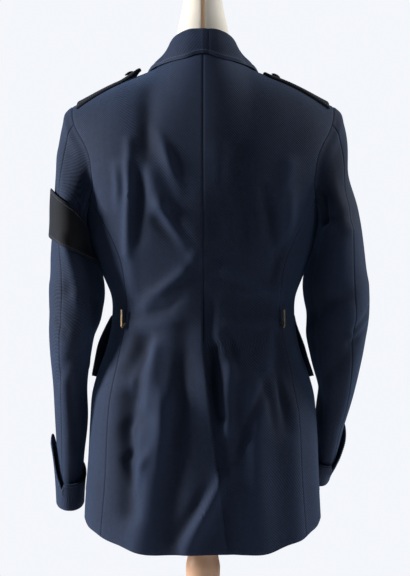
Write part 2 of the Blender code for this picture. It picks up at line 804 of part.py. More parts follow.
def sleeveGrid(arm, side, folds):
    """Outer and inner points of a whole sleeve, rows from the armhole to the cuff."""
    turns = sleeveTurns()
    columns = len(turns)
    seam, seamNormals, outward = armholeLoop(side, turns)
    heights = [row[0] for row in arm["rows"]]
    start = seam + seamGap * outward
    top = armPoint(arm, side, turns, np.full(columns, heights[-1]))
    leave = armPoint(arm, side, turns, np.full(columns, heights[-1] - 0.01)) - top
    apart = np.linalg.norm(top - start, axis=1, keepdims=True)
    rows = []
    for s in capRows:
        rows.append(
            (2 * s**3 - 3 * s**2 + 1) * start
            + (s**3 - 2 * s**2 + s) * capLeave * apart * outward
            + (3 * s**2 - 2 * s**3) * top
            + (s**3 - s**2) * capArrive * apart * unit(leave)
        )
    for height in np.linspace(heights[-1], heights[0], armRows)[1:]:
        rows.append(armPoint(arm, side, turns, np.full(columns, height)))
    outer = np.array(rows)
    normals = gridNormals(outer, True)
    if np.sum(normals[-1] * (outer[-1] - outer[-1].mean(axis=0))) < 0:
        normals = -normals
    normals[0] = seamNormals
    for row in folds:
        fold = tableRow(sleeveFoldColumns, row)
        alongT = (fold["toTurn"] - fold["fromTurn"]) * sleeveRound
        alongZ = fold["toZ"] - fold["fromZ"]
        apartT = ((turns[None, :] - fold["fromTurn"] + 0.5) % 1.0 - 0.5) * sleeveRound
        apartZ = outer[..., 2] - fold["fromZ"]
        t = np.clip((apartT * alongT + apartZ * alongZ) / (alongT**2 + alongZ**2), 0, 1)
        distance = np.hypot(apartT - t * alongT, apartZ - t * alongZ)
        shift = fold["rise"] * np.exp(-((distance / fold["reach"]) ** 2))
        shift[0] = 0
        outer = outer + shift[..., None] * normals
    return outer, outer - clothThickness * normals, normals


def partColumns(grid, first, last):
    """Columns first to last of a closed grid, drawn in a little at both ends."""
    count = grid.shape[1]
    part = grid[:, [column % count for column in range(first, last + 1)]].copy()
    part[:, 0] += seamShare * seamGap * unit(part[:, 1] - part[:, 0])
    part[:, -1] += seamShare * seamGap * unit(part[:, -2] - part[:, -1])
    return part


def addSleeves():
    for side, arm, folds in ((1, leftArm, leftSleeveFolds), (-1, rightArm, rightSleeveFolds)):
        name = sideName(side)
        outer, inner, normals = sleeveGrid(arm, side, folds)
        spans = (
            ("sleeve_top_", foreSeam - len(sleeveTurns()), hindSeam, "navyTwill"),
            ("sleeve_under_", hindSeam, foreSeam, "darkNavyTwill"),
        )
        for piece, first, last, finish in spans:
            outside = partColumns(outer, first, last)
            inside = partColumns(inner, first, last)
            addWall(piece + name, outside, inside, finish)
        addCuff(side, arm)
        if side > 0:
            addArmband(outer, normals)


def cuffTop(turn, side):
    """Height of the cuff's top edge above its fold."""
    away = np.minimum(np.abs(turn), np.abs(turn - 1))
    lobe = cuffLobes[sideName(side)] * np.exp(-((away / cuffLobeReach) ** 4))
    notch = cuffNotch * np.exp(-(((turn - cuffNotchTurn) / cuffNotchReach) ** 2))
    return cuffDepth + lobe - notch


def addCuff(side, arm):
    near = cuffNotchTurn + cuffNotchReach * np.array([-1.6, -0.8, 0.0, 0.8, 1.6])
    plain = sleeveTurns()
    plain = plain[np.abs(plain - cuffNotchTurn) > 0.005]
    turns = np.sort(np.concatenate([plain, near]))
    shares = np.linspace(0, 1, 4)
    turn, share = np.meshgrid(turns, shares)
    height = arm["rows"][0][0] - cuffDrop + share * cuffTop(turn, side)
    proud = cuffStandOff + cuffFlare * share**2 * (0.35 + 0.65 * np.cos(math.pi * turn) ** 2)
    inner = armPoint(arm, side, turn, height, proud)
    outer = armPoint(arm, side, turn, height, proud + clothThickness)
    addWall("cuff_" + sideName(side), outer, inner, "navyTwill", closed=True)


def addArmband(outer, normals):
    turns = sleeveTurns()
    columns = len(turns)
    outside = 0.5 + 0.5 * np.cos(2 * math.pi * turns)
    faces = {"inner": [], "outer": []}
    for share in np.linspace(0, 1, 4):
        high = bandInner[0] + (bandOuter[0] - bandInner[0]) * outside
        low = bandInner[1] + (bandOuter[1] - bandInner[1]) * outside
        height = high + share * (low - high)
        point, normal = np.zeros((columns, 3)), np.zeros((columns, 3))
        for column in range(columns):
            path = outer[::-1, column]
            for axis in range(3):
                point[column, axis] = np.interp(height[column], path[:, 2], path[:, axis])
                across = normals[::-1, column, axis]
                normal[column, axis] = np.interp(height[column], path[:, 2], across)
        normal = unit(normal)
        proud = (bandClearance + bandStandOff * outside * (1.25 - 0.5 * share))[:, None]
        faces["inner"].append(point + proud * normal)
        faces["outer"].append(point + (proud + clothThickness) * normal)
    outside, inside = np.array(faces["outer"]), np.array(faces["inner"])
    addWall("armband_left", outside, inside, "blackCloth", closed=True)


def shoulderHeight(x, y):
    """Height of the cloth over the shoulder at a place seen from above."""
    height = ridgeHeight(x)
    for _ in range(6):
        width = readTable(torso, "halfWidth", height)
        back, front = readTable(torso, "back", height), readTable(torso, "front", height)
        depth = np.where(y >= 0, back, front)
        across = (1 - np.clip(np.abs(x) / width, 0, 1) ** bodyPower) ** (1 / bodyPower)
        share = np.clip(np.abs(y) / (depth * across), 0, 1)
        height = armholeBase + (ridgeHeight(x) - armholeBase) * np.sqrt(1 - share**2)
    return height


def addCollar():
    """The fold collar: a stand, a fold at the top and a fall outside it, in one wall."""
    places = np.linspace(-1, 1, collarSections)
    at = np.abs(places)
    hand = np.sign(places)

    def column(name):
        return readTable(collar, name, at)

    standX, standY = column("standX"), column("standY")
    edgeX, edgeY = column("edgeX"), column("edgeY")
    stand = np.stack([standX, standY, shoulderHeight(standX, standY) + standClearance], axis=-1)
    fold = np.stack([column("foldX"), column("foldY"), column("foldZ")], axis=-1)
    edge = np.stack([edgeX, edgeY, shoulderHeight(edgeX, edgeY) + fallClearance], axis=-1)
    out = unit((edge - stand) * np.array([1.0, 1.0, 0.0]))
    up = unit(np.cross(np.cross(out, fold - 0.5 * (stand + edge)), out))
    foldIn = fold - collarRound * out
    foldOut = fold + collarRound * out
    line = np.array([
        stand,
        0.5 * (stand + foldIn),
        foldIn - collarRound * up,
        fold,
        foldOut - collarRound * up,
        0.5 * (foldOut + edge) + collarRound * out,
        edge,
    ])
    tangents = unit(np.gradient(line, axis=0))
    sideways = unit(np.cross(out, up))
    across = unit(np.cross(sideways[None], tangents))
    flip = np.sign(np.sum(across[0] * out, axis=-1))
    across = across * flip[None, :, None]
    half = 0.5 * clothThickness
    section = np.concatenate([line + half * across, (line - half * across)[::-1]])
    rings = np.swapaxes(section, 0, 1).copy()
    rings[..., 0] *= np.where(hand == 0, 1, hand)[:, None]
    middle = len(places) // 2
    rings[middle, :, 0] = 0
    addRings("collar", rings, "navyTwill")


def addLapels():
    for side in (1, -1):
        foot = 0.0 if side > 0 else lapelHidden
        u, rise = np.meshgrid(np.linspace(0, 1, 5), np.linspace(foot, 1, 8))
        height = lapelBreak + (lapelTop - lapelBreak) * rise - lapelSlant * u * rise**3
        start = frontEdge(height) + lapelSetBack
        if side < 0:
            start = np.maximum(start, lapelSetBack + seamGap - frontEdge(height))
        end = frontEdge(height) + lapelSetBack + readTable(lapel, "width", rise)
        x = start + u * (end - start)
        angle = math.pi - angleAt(x, height)
        low, high = lapelStandOff
        lift = frontLift(x, height, side) + low + (high - low) * u * rise
        outer = bodyPoint(angle, height, side, lift + clothThickness)
        inner = bodyPoint(angle, height, side, lift)
        addWall("lapel_" + sideName(side), outer, inner, "navyTwill")


def addStraps():
    for side in (1, -1):
        share, across = np.meshgrid(np.linspace(0, 1, 7), np.linspace(-1, 1, 7))
        half = strapHalfWidth[0] + (strapHalfWidth[1] - strapHalfWidth[0]) * share
        half = half * (1 - strapPoint * ease(share, 0.90, 1.0))
        x = strapOuter + (strapInner - strapOuter) * share
        y = across * half
        lift = strapClearance + strapCurl * across**2
        if side > 0:
            lift = lift + strapLift * ease(share, strapLiftFrom, 1.0)
        slope = unit(np.array([shoulderSlope, 0.0, 1.0]))
        low = np.stack([x, y, shoulderHeight(x, y)], axis=-1) + lift[..., None] * slope
        high = low + strapThickness * slope
        mirror = np.array([side, 1.0, 1.0])
        addWall("shoulder_strap_" + sideName(side), high * mirror, low * mirror, "blackCloth")
        up = slope * mirror
        over = np.array([strapButtonX * side, 0.0, float(ridgeHeight(strapButtonX))])
        seat = seatOn("shoulder_strap_" + sideName(side), over, up, smallButtonRadius)
        addButton("strap_button_" + sideName(side), seat, up, smallButtonRadius)


def seatOn(name, over, axis, radius):
    """The lowest place, over a piece, where a round foot of this radius stays clear of it."""
    mesh = bpy.data.objects[name].data
    tree = BVHTree.FromPolygons([v.co for v in mesh.vertices], [p.vertices for p in mesh.polygons])
    axis = unit(np.array(axis, dtype=float))
    across = unit(np.cross(axis, (0.3, 0.2, 0.9)))
    other = np.cross(axis, across)
    highest = -buttonReach
    for turn in range(buttonSegments + 1):
        angle = 2 * math.pi * turn / buttonSegments
        out = 0.0 if turn == buttonSegments else radius
        start = over + buttonReach * axis + out * (math.cos(angle) * across + math.sin(angle) * other)
        hit = tree.ray_cast(start, -axis)
        if hit[0] is not None:
            highest = max(highest, buttonReach - hit[3])
    return over + (highest + seamGap) * axis


def addButton(name, seat, axis, radius):
    profile = [(share * radius, rise * radius) for share, rise in buttonProfile]
    addTurned(name, profile, "brass", seat, axis, buttonSegments)


def frontPatch(side, shareAcross, low, high, liftAt):
    """Points of a patch on the front, from its back edge to its front edge."""
    share, rise = np.meshgrid(shareAcross, np.linspace(0, 1, 7))
    height = low + (high - low) * rise
    start = math.radians(pocketBack)
    end = math.pi - angleAt(np.full_like(height, pocketFrontX), height)
    angle = start + share * (end - start)
    x = readTable(torso, "halfWidth", height) * signedPower(np.sin(angle), 2 / bodyPower)
    lift = frontLift(x, height, side) + liftAt(share, rise)
    return angle, height, lift


def addPockets():
    for side in (1, -1):
        name = sideName(side)

        def bellows(share, rise):
            rim = np.minimum(np.minimum(share, 1 - share) * 8, rise * 6)
            corner = (1 - share) ** 3 * (1 - rise) ** 2
            return pocketProud * (0.55 + 0.45 * ease(rim, 0, 1)) + pocketCorner * corner

        angle, height, lift = frontPatch(side, np.linspace(0, 1, 9), pocketFoot, pocketTop, bellows)
        outer = bodyPoint(angle, height, side, lift)
        x = readTable(torso, "halfWidth", height) * signedPower(np.sin(angle), 2 / bodyPower)
        inner = bodyPoint(angle, height, side, frontLift(x, height, side) + pocketClearance)
        addWall("pocket_" + name, outer, inner, "navyTwill")

        def hang(share, rise):
            drop = 1 - rise
            stand = flapStand[sideName(side)] * np.clip(1 - share, 0, 1) ** 3
            stand = stand * np.sin(math.pi * drop**0.7)
            return flapProud * ease(drop, 0.0, 0.55) + stand

        wider = np.linspace(-flapOverhang, 1 + flapOverhang, 9)
        angle, height, lift = frontPatch(side, wider, flapFoot, flapTop, hang)
        point = flapPoint * (1 - np.abs(2 * np.clip(wider, 0, 1) - 1))
        height = height - point * (flapTop - height) / (flapTop - flapFoot)
        lift = lift + flapClearance
        outer = bodyPoint(angle, height, side, lift + clothThickness)
        inner = bodyPoint(angle, height, side, lift)
        addWall("pocket_flap_" + name, outer, inner, "navyTwill")
        middle = outer.shape[1] // 2
        over = outer[1, middle]
        across = outer[1, middle + 1] - outer[1, middle - 1]
        normal = unit(np.cross(across, outer[2, middle] - outer[0, middle]))
        if np.dot(normal, over * np.array([1.0, 1.0, 0.0])) < 0:
            normal = -normal
        seat = seatOn("pocket_flap_" + name, over, normal, smallButtonRadius)
        addButton("flap_button_" + name, seat, normal, smallButtonRadius)


def addFrontButtons():
    for number, height in enumerate(frontButtonHeights, start=1):
        z = np.array([height])
        lap = frontLift(np.zeros(1), z, 1)
        face = bodyPoint(np.array([math.pi]), z, 1, lap)[0]
        above = bodyPoint(np.array([math.pi]), z + frontButtonRadius, 1, lap)[0]
        below = bodyPoint(np.array([math.pi]), z - frontButtonRadius, 1, lap)[0]
        out = unit(np.cross((1.0, 0.0, 0.0), above - below))
        seat = seatOn("front_left", face, out, frontButtonRadius)
        addButton(f"front_button_{number}", seat, out, frontButtonRadius)


def addHooks():
    """Belt hooks that come out of the side-back seams: a foot, a bend and an upright."""
    for side in (1, -1):
        angle = np.radians(readTable(sideSeams, "back", [hookFoot]) - hookTurn)

        def clothAt(height):
            return bodyPoint(angle, np.array([height]), side)[0]

        level = hookFoot + hookPath["rows"][0][1]
        root = clothAt(level)
        further = bodyPoint(angle + 0.01, np.array([level]), side)[0]
        across = unit((further - root) * np.array([1.0, 1.0, 0.0]))
        out = side * np.cross(across, (0.0, 0.0, 1.0))
        if np.dot(out, root) < 0:
            out = -out
        line = []
        for row in hookPath["rows"]:
            bend = tableRow(hookPath["columns"], row)
            height = hookFoot + bend["rise"]
            stand = max(0.0, float(np.dot(clothAt(height) - root, out)))
            line.append(root + (bend["out"] + stand) * out + np.array([0.0, 0.0, height - level]))
        line = np.array(line)
        corner = 0.5 * hookWidth * across
        rings = []
        for point, tangent in zip(line, unit(np.gradient(line, axis=0))):
            deep = 0.5 * hookThickness * unit(np.cross(across, tangent))
            centre = point + 0.5 * hookThickness * out
            rings.append([
                centre - corner - deep, centre + corner - deep,
                centre + corner + deep, centre - corner + deep,
            ])
        addRings("belt_hook_" + sideName(side), np.array(rings), "brass")


def formHalfWidth(height):
    """The form's half width, kept under the jacket's shoulder seam."""
    wide = readTable(form, "halfWidth", height)
    x = np.linspace(shoulderTip[0], neckHalfWidth, 60)
    under = np.interp(height + formClearance, ridgeHeight(x), x)
    return np.where(height < formShoulder, wide, np.minimum(wide, under))


def addForm():
    low = form["rows"][0][0]
    high = form["rows"][-1][0]
    heights = np.concatenate([
        [low], np.linspace(low + 0.008, 0.95, 10), np.linspace(0.965, 1.05, 10),
        np.linspace(1.07, high, 4),
    ])
    turns = 2 * math.pi * np.arange(formSegments) / formSegments
    halfWidth = formHalfWidth(heights)
    rings = []
    for height, width in zip(heights, halfWidth):
        sine = np.sin(turns)
        back, front = readTable(form, "back", height), readTable(form, "front", height)
        depth = np.where(sine >= 0, back, front)
        rings.append(np.stack([width * np.cos(turns), depth * sine, height + 0 * turns], axis=-1))
    addRings("form_torso", np.array(rings), "creamCotton")
    addTurned("neck_cap", neckCapProfile, "turnedWood", segments=20)
    addTurned("stem", stemProfile, "turnedWood", segments=20)
    addTurned("base", baseProfile, "turnedWood")


for leftover in list(bpy.data.objects):
    bpy.data.objects.remove(leftover)

jacket = bpy.data.objects.new("jacketOnForm", None)
bpy.context.collection.objects.link(jacket)

addBody()
addSleeves()
addCollar()
addLapels()
addStraps()
addPockets()
addFrontButtons()
addHooks()
addForm()
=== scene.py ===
# A military uniform jacket on a limbless dress form with a turned wooden stand.
# Metres, +Z up. The jacket's front faces -Y and +X is the wearer's left. The cloth is
# worked out from the same few tables as the solids, on a finer grid and with its creases.
import json
import math

import bmesh
import bpy
import numpy as np
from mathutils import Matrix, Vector

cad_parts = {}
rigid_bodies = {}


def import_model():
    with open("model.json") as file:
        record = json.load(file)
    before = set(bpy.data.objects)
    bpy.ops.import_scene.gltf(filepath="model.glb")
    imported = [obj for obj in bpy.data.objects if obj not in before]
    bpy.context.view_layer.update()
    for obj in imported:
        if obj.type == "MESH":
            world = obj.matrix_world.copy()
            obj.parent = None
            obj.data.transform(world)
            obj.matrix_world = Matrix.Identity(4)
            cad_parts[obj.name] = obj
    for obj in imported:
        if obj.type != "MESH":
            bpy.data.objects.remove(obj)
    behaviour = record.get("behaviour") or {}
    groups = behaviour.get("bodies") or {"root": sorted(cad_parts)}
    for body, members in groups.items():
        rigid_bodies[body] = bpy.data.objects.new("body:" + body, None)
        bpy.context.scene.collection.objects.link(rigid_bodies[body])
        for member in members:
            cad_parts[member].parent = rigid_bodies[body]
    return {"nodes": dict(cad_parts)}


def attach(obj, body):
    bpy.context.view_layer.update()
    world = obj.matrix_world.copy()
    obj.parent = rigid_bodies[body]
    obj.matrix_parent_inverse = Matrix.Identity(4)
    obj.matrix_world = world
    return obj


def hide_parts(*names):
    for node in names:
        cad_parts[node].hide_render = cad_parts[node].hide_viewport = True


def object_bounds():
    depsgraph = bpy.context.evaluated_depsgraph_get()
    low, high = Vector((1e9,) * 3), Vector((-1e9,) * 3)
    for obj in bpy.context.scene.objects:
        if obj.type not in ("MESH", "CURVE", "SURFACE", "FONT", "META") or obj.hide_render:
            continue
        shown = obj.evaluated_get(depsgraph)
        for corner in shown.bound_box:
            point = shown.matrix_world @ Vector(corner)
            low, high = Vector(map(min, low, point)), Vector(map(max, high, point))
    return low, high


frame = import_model()
solidLow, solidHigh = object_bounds()
print("frame loaded with", len(frame["nodes"]), "nodes")


# The jacket's sizes, the same as its solids'
clothThickness = 0.0022
seamGap = 0.0003
hemHeight = 0.3240
hemRise = 0.034
hemRiseFrom = 22.0
hemRiseTo = 86.0
armholeBase = 0.835
armholeDip = 0.018
neckHalfWidth = 0.0735
neckSeamDrop = 0.028
shoulderTip = (0.195, 0.9745)
shoulderSlope = 0.469
shoulderRound = 0.030
shoulderFill = 0.0030
napeRise = 0.035
bodyPower = 2.2
ventTop = 0.630
ventReach = 0.0355
ventUnderlap = 0.016
ventSink = 0.0042
frontLap = 0.020
frontLapLift = 0.0017
lapelBreak = 0.800
formClearance = 0.0031
formShoulder = 0.975
baseRadius = 0.170


# The body's cloth, from the hem to above the shoulders
torso = {
    "columns": ("height", "halfWidth", "back", "front"),
    "rows": (
        (0.320, 0.1780, 0.1380, 0.1460),
        (0.390, 0.1760, 0.1340, 0.1420),
        (0.440, 0.1735, 0.1300, 0.1370),
        (0.510, 0.1690, 0.1260, 0.1310),
        (0.550, 0.1650, 0.1220, 0.1270),
        (0.570, 0.1600, 0.1190, 0.1240),
        (0.600, 0.1500, 0.1130, 0.1170),
        (0.630, 0.1415, 0.1070, 0.1100),
        (0.660, 0.1368, 0.1020, 0.1060),
        (0.690, 0.1372, 0.1010, 0.1070),
        (0.720, 0.1480, 0.1030, 0.1130),
        (0.755, 0.1625, 0.1070, 0.1210),
        (0.790, 0.1710, 0.1110, 0.1260),
        (0.817, 0.1740, 0.1140, 0.1270),
        (0.835, 0.1765, 0.1155, 0.1265),
        (0.871, 0.1860, 0.1170, 0.1220),
        (0.930, 0.2070, 0.1160, 0.1140),
        (0.975, 0.2200, 0.1130, 0.1070),
        (1.090, 0.2350, 0.1100, 0.1000),
    ),
}

# Where the side panels' seams run, in degrees from the centre back
sideSeams = {
    "columns": ("height", "back", "front"),
    "rows": (
        (0.320, 55.9, 99.0),
        (0.420, 53.4, 99.0),
        (0.510, 53.1, 99.0),
        (0.560, 52.5, 99.5),
        (0.620, 55.0, 100.0),
        (0.672, 53.4, 101.0),
        (0.700, 51.5, 102.0),
        (0.723, 48.8, 103.0),
        (0.747, 47.5, 104.0),
        (0.766, 49.2, 105.0),
        (0.794, 54.7, 107.0),
        (0.820, 63.7, 109.3),
        (0.835, 69.2, 110.8),
    ),
}

# How far from the centre line the armhole seam lies
armhole = {
    "columns": ("height", "reach"),
    "rows": (
        (0.8350, 0.1660),
        (0.8490, 0.1620),
        (0.8710, 0.1635),
        (0.8950, 0.1670),
        (0.9150, 0.1750),
        (0.9305, 0.1840),
        (0.9465, 0.1910),
        (0.9600, 0.1940),
        (0.9745, 0.1950),
    ),
}

# The largest folds, each along a line seen square from its side of the body. The reach
# is the fold's half width and the rise is how far it stands out, below 0 for a trough.
foldColumns = ("fromX", "fromZ", "toX", "toZ", "reach", "rise")
backFolds = (
    (0.0800, 0.985, 0.0760, 0.890, 0.013, -0.0040),
    (0.0860, 0.884, 0.0590, 0.821, 0.013, 0.0045),
    (0.0590, 0.821, 0.0115, 0.748, 0.012, 0.0040),
    (0.0647, 0.800, 0.0230, 0.758, 0.010, -0.0035),
    (0.1150, 0.880, 0.1030, 0.700, 0.011, 0.0030),
    (0.0805, 0.679, 0.0273, 0.726, 0.010, 0.0035),
    (0.0805, 0.625, 0.1100, 0.584, 0.012, -0.0045),
    (0.0905, 0.628, 0.1000, 0.542, 0.011, -0.0045),
    (0.1050, 0.542, 0.1050, 0.384, 0.016, -0.0080),
    (0.0704, 0.615, 0.0790, 0.536, 0.011, 0.0045),
    (0.0546, 0.542, 0.0905, 0.335, 0.019, 0.0070),
    (0.0260, 0.640, 0.0450, 0.335, 0.016, -0.0040),
    (-0.0237, 0.430, 0.0200, 0.332, 0.014, 0.0045),
    (-0.0150, 0.615, -0.0260, 0.520, 0.009, -0.0060),
    (-0.0390, 0.590, -0.0350, 0.500, 0.010, 0.0040),
    (-0.1090, 0.630, -0.1220, 0.500, 0.010, -0.0045),
    (-0.0700, 0.560, -0.0850, 0.335, 0.020, 0.0050),
    (-0.1300, 0.520, -0.1380, 0.340, 0.014, 0.0040),
    (-0.0350, 0.730, -0.1050, 0.690, 0.010, 0.0030),
    (-0.1250, 0.880, -0.1050, 0.760, 0.013, 0.0035),
    (-0.0500, 0.900, -0.0150, 0.790, 0.016, -0.0030),
)
frontFolds = (
    (0.0950, 0.800, 0.0700, 0.690, 0.014, -0.0035),
    (-0.0950, 0.790, -0.0650, 0.690, 0.013, -0.0035),
    (0.0300, 0.680, 0.0900, 0.665, 0.010, -0.0025),
    (-0.0300, 0.672, -0.0850, 0.660, 0.010, -0.0025),
    (0.0400, 0.560, 0.0450, 0.360, 0.018, 0.0040),
    (-0.0450, 0.540, -0.0500, 0.370, 0.017, 0.0040),
)

# The sleeves from the upper arm down. Forward is towards the wearer's front, and turn
# swings the sleeve's back edge inwards, in degrees.
armColumns = ("height", "out", "forward", "halfWidth", "halfDepth", "turn")
leftArm = {
    "columns": armColumns,
    "rows": (
        (0.378, 0.2040, 0.060, 0.0182, 0.056, 4.0),
        (0.450, 0.2020, 0.042, 0.0208, 0.056, 4.0),
        (0.508, 0.1990, 0.022, 0.0250, 0.057, 5.0),
        (0.560, 0.1998, 0.008, 0.0258, 0.060, 6.0),
        (0.610, 0.1985, -0.002, 0.0310, 0.063, 7.0),
        (0.640, 0.1960, -0.007, 0.0345, 0.065, 7.0),
        (0.670, 0.1900, -0.009, 0.0400, 0.066, 7.0),
        (0.715, 0.1895, -0.008, 0.0405, 0.068, 7.0),
        (0.750, 0.1970, -0.004, 0.0315, 0.070, 6.0),
        (0.790, 0.1990, 0.000, 0.0268, 0.072, 4.0),
    ),
}
rightArm = {
    "columns": armColumns,
    "rows": (
        (0.418, 0.1815, 0.128, 0.0165, 0.055, 2.0),
        (0.450, 0.1885, 0.105, 0.0185, 0.056, 3.0),
        (0.508, 0.1960, 0.067, 0.0230, 0.057, 4.0),
        (0.560, 0.2032, 0.034, 0.0285, 0.060, 5.0),
        (0.610, 0.2010, 0.008, 0.0405, 0.063, 6.0),
        (0.640, 0.2000, 0.000, 0.0460, 0.065, 7.0),
        (0.670, 0.2015, -0.005, 0.0475, 0.066, 7.0),
        (0.715, 0.1985, -0.007, 0.0490, 0.068, 7.0),
        (0.750, 0.2020, -0.004, 0.0410, 0.070, 6.0),
        (0.790, 0.2040, 0.000, 0.0343, 0.072, 4.0),
    ),
}

capLeave = 0.43
capArrive = 1.07
armholeShare = 0.36
armRoundness = 0.9
lowerShare = 0.70
seamHalfGap = math.radians(0.024)

# Folds on the sleeves, on a line from one turn and height to another
sleeveFoldColumns = ("fromTurn", "fromZ", "toTurn", "toZ", "reach", "rise")
leftSleeveFolds = (
    (0.20, 0.700, 0.44, 0.672, 0.012, -0.0035),
    (0.60, 0.690, 0.80, 0.670, 0.012, -0.0030),
    (0.10, 0.560, 0.24, 0.600, 0.011, -0.0020),
    (0.08, 0.900, 0.20, 0.830, 0.014, 0.0020),
    (0.20, 0.775, 0.245, 0.690, 0.010, 0.0028),
    (0.245, 0.690, 0.40, 0.590, 0.012, 0.0028),
    (0.31, 0.760, 0.34, 0.660, 0.014, -0.0045),
    (0.24, 0.560, 0.30, 0.470, 0.012, -0.0025),
    (0.13, 0.655, 0.20, 0.640, 0.006, -0.0018),
)
rightSleeveFolds = (
    (0.20, 0.690, 0.46, 0.655, 0.012, -0.0035),
    (0.60, 0.680, 0.82, 0.650, 0.012, -0.0030),
    (0.05, 0.810, 0.26, 0.790, 0.008, -0.0030),
    (0.14, 0.620, 0.30, 0.570, 0.012, -0.0025),
    (-0.12, 0.905, 0.14, 0.850, 0.036, -0.0100),
    (0.315, 0.838, 0.355, 0.800, 0.0055, -0.0060),
    (0.340, 0.802, 0.130, 0.812, 0.0060, -0.0026),
    (0.340, 0.786, 0.180, 0.792, 0.0080, 0.0022),
    (0.150, 0.640, 0.030, 0.673, 0.0060, -0.0028),
    (0.175, 0.622, 0.060, 0.648, 0.0065, -0.0022),
    (0.165, 0.631, 0.045, 0.660, 0.0050, 0.0018),
    (0.240, 0.760, 0.200, 0.660, 0.0140, 0.0030),
    (0.340, 0.740, 0.360, 0.620, 0.0150, -0.0035),
)

# The collar's three edges, from the centre back (0) to its front end (1)
collar = {
    "columns": ("place", "standX", "standY", "foldX", "foldY", "foldZ", "edgeX", "edgeY"),
    "rows": (
        (0.00, 0.0000, 0.0535, 0.0000, 0.0475, 1.0840, 0.0000, 0.0635),
        (0.20, 0.0240, 0.0500, 0.0220, 0.0440, 1.0825, 0.0270, 0.0600),
        (0.40, 0.0470, 0.0405, 0.0410, 0.0330, 1.0740, 0.0495, 0.0430),
        (0.60, 0.0670, 0.0170, 0.0555, 0.0100, 1.0570, 0.0670, 0.0190),
        (0.75, 0.0725, -0.0040, 0.0625, -0.0120, 1.0450, 0.0785, -0.0030),
        (0.88, 0.0700, -0.0300, 0.0665, -0.0330, 1.0320, 0.0880, -0.0300),
        (1.00, 0.0585, -0.0680, 0.0590, -0.0700, 0.9990, 0.0960, -0.0630),
    ),
}

# The dress form inside the jacket
form = {
    "columns": ("height", "halfWidth", "back", "front"),
    "rows": (
        (0.455, 0.1230, 0.092, 0.096),
        (0.465, 0.1300, 0.098, 0.102),
        (0.510, 0.1380, 0.103, 0.107),
        (0.570, 0.1320, 0.098, 0.101),
        (0.620, 0.1180, 0.089, 0.091),
        (0.660, 0.1120, 0.085, 0.087),
        (0.700, 0.1160, 0.085, 0.091),
        (0.760, 0.1360, 0.089, 0.103),
        (0.800, 0.1470, 0.093, 0.107),
        (0.840, 0.1520, 0.095, 0.105),
        (0.880, 0.1550, 0.093, 0.100),
        (0.920, 0.1600, 0.086, 0.091),
        (0.950, 0.1660, 0.070, 0.072),
        (0.970, 0.1690, 0.056, 0.056),
        (0.985, 0.1700, 0.046, 0.046),
        (1.000, 0.1430, 0.041, 0.041),
        (1.015, 0.0985, 0.039, 0.039),
        (1.027, 0.0680, 0.038, 0.038),
        (1.035, 0.0570, 0.038, 0.038),
        (1.050, 0.0480, 0.037, 0.037),
        (1.070, 0.0420, 0.036, 0.036),
        (1.0975, 0.0360, 0.033, 0.033),
        (1.135, 0.0290, 0.0285, 0.0285),
        (1.165, 0.0280, 0.0275, 0.0275),
    ),
}


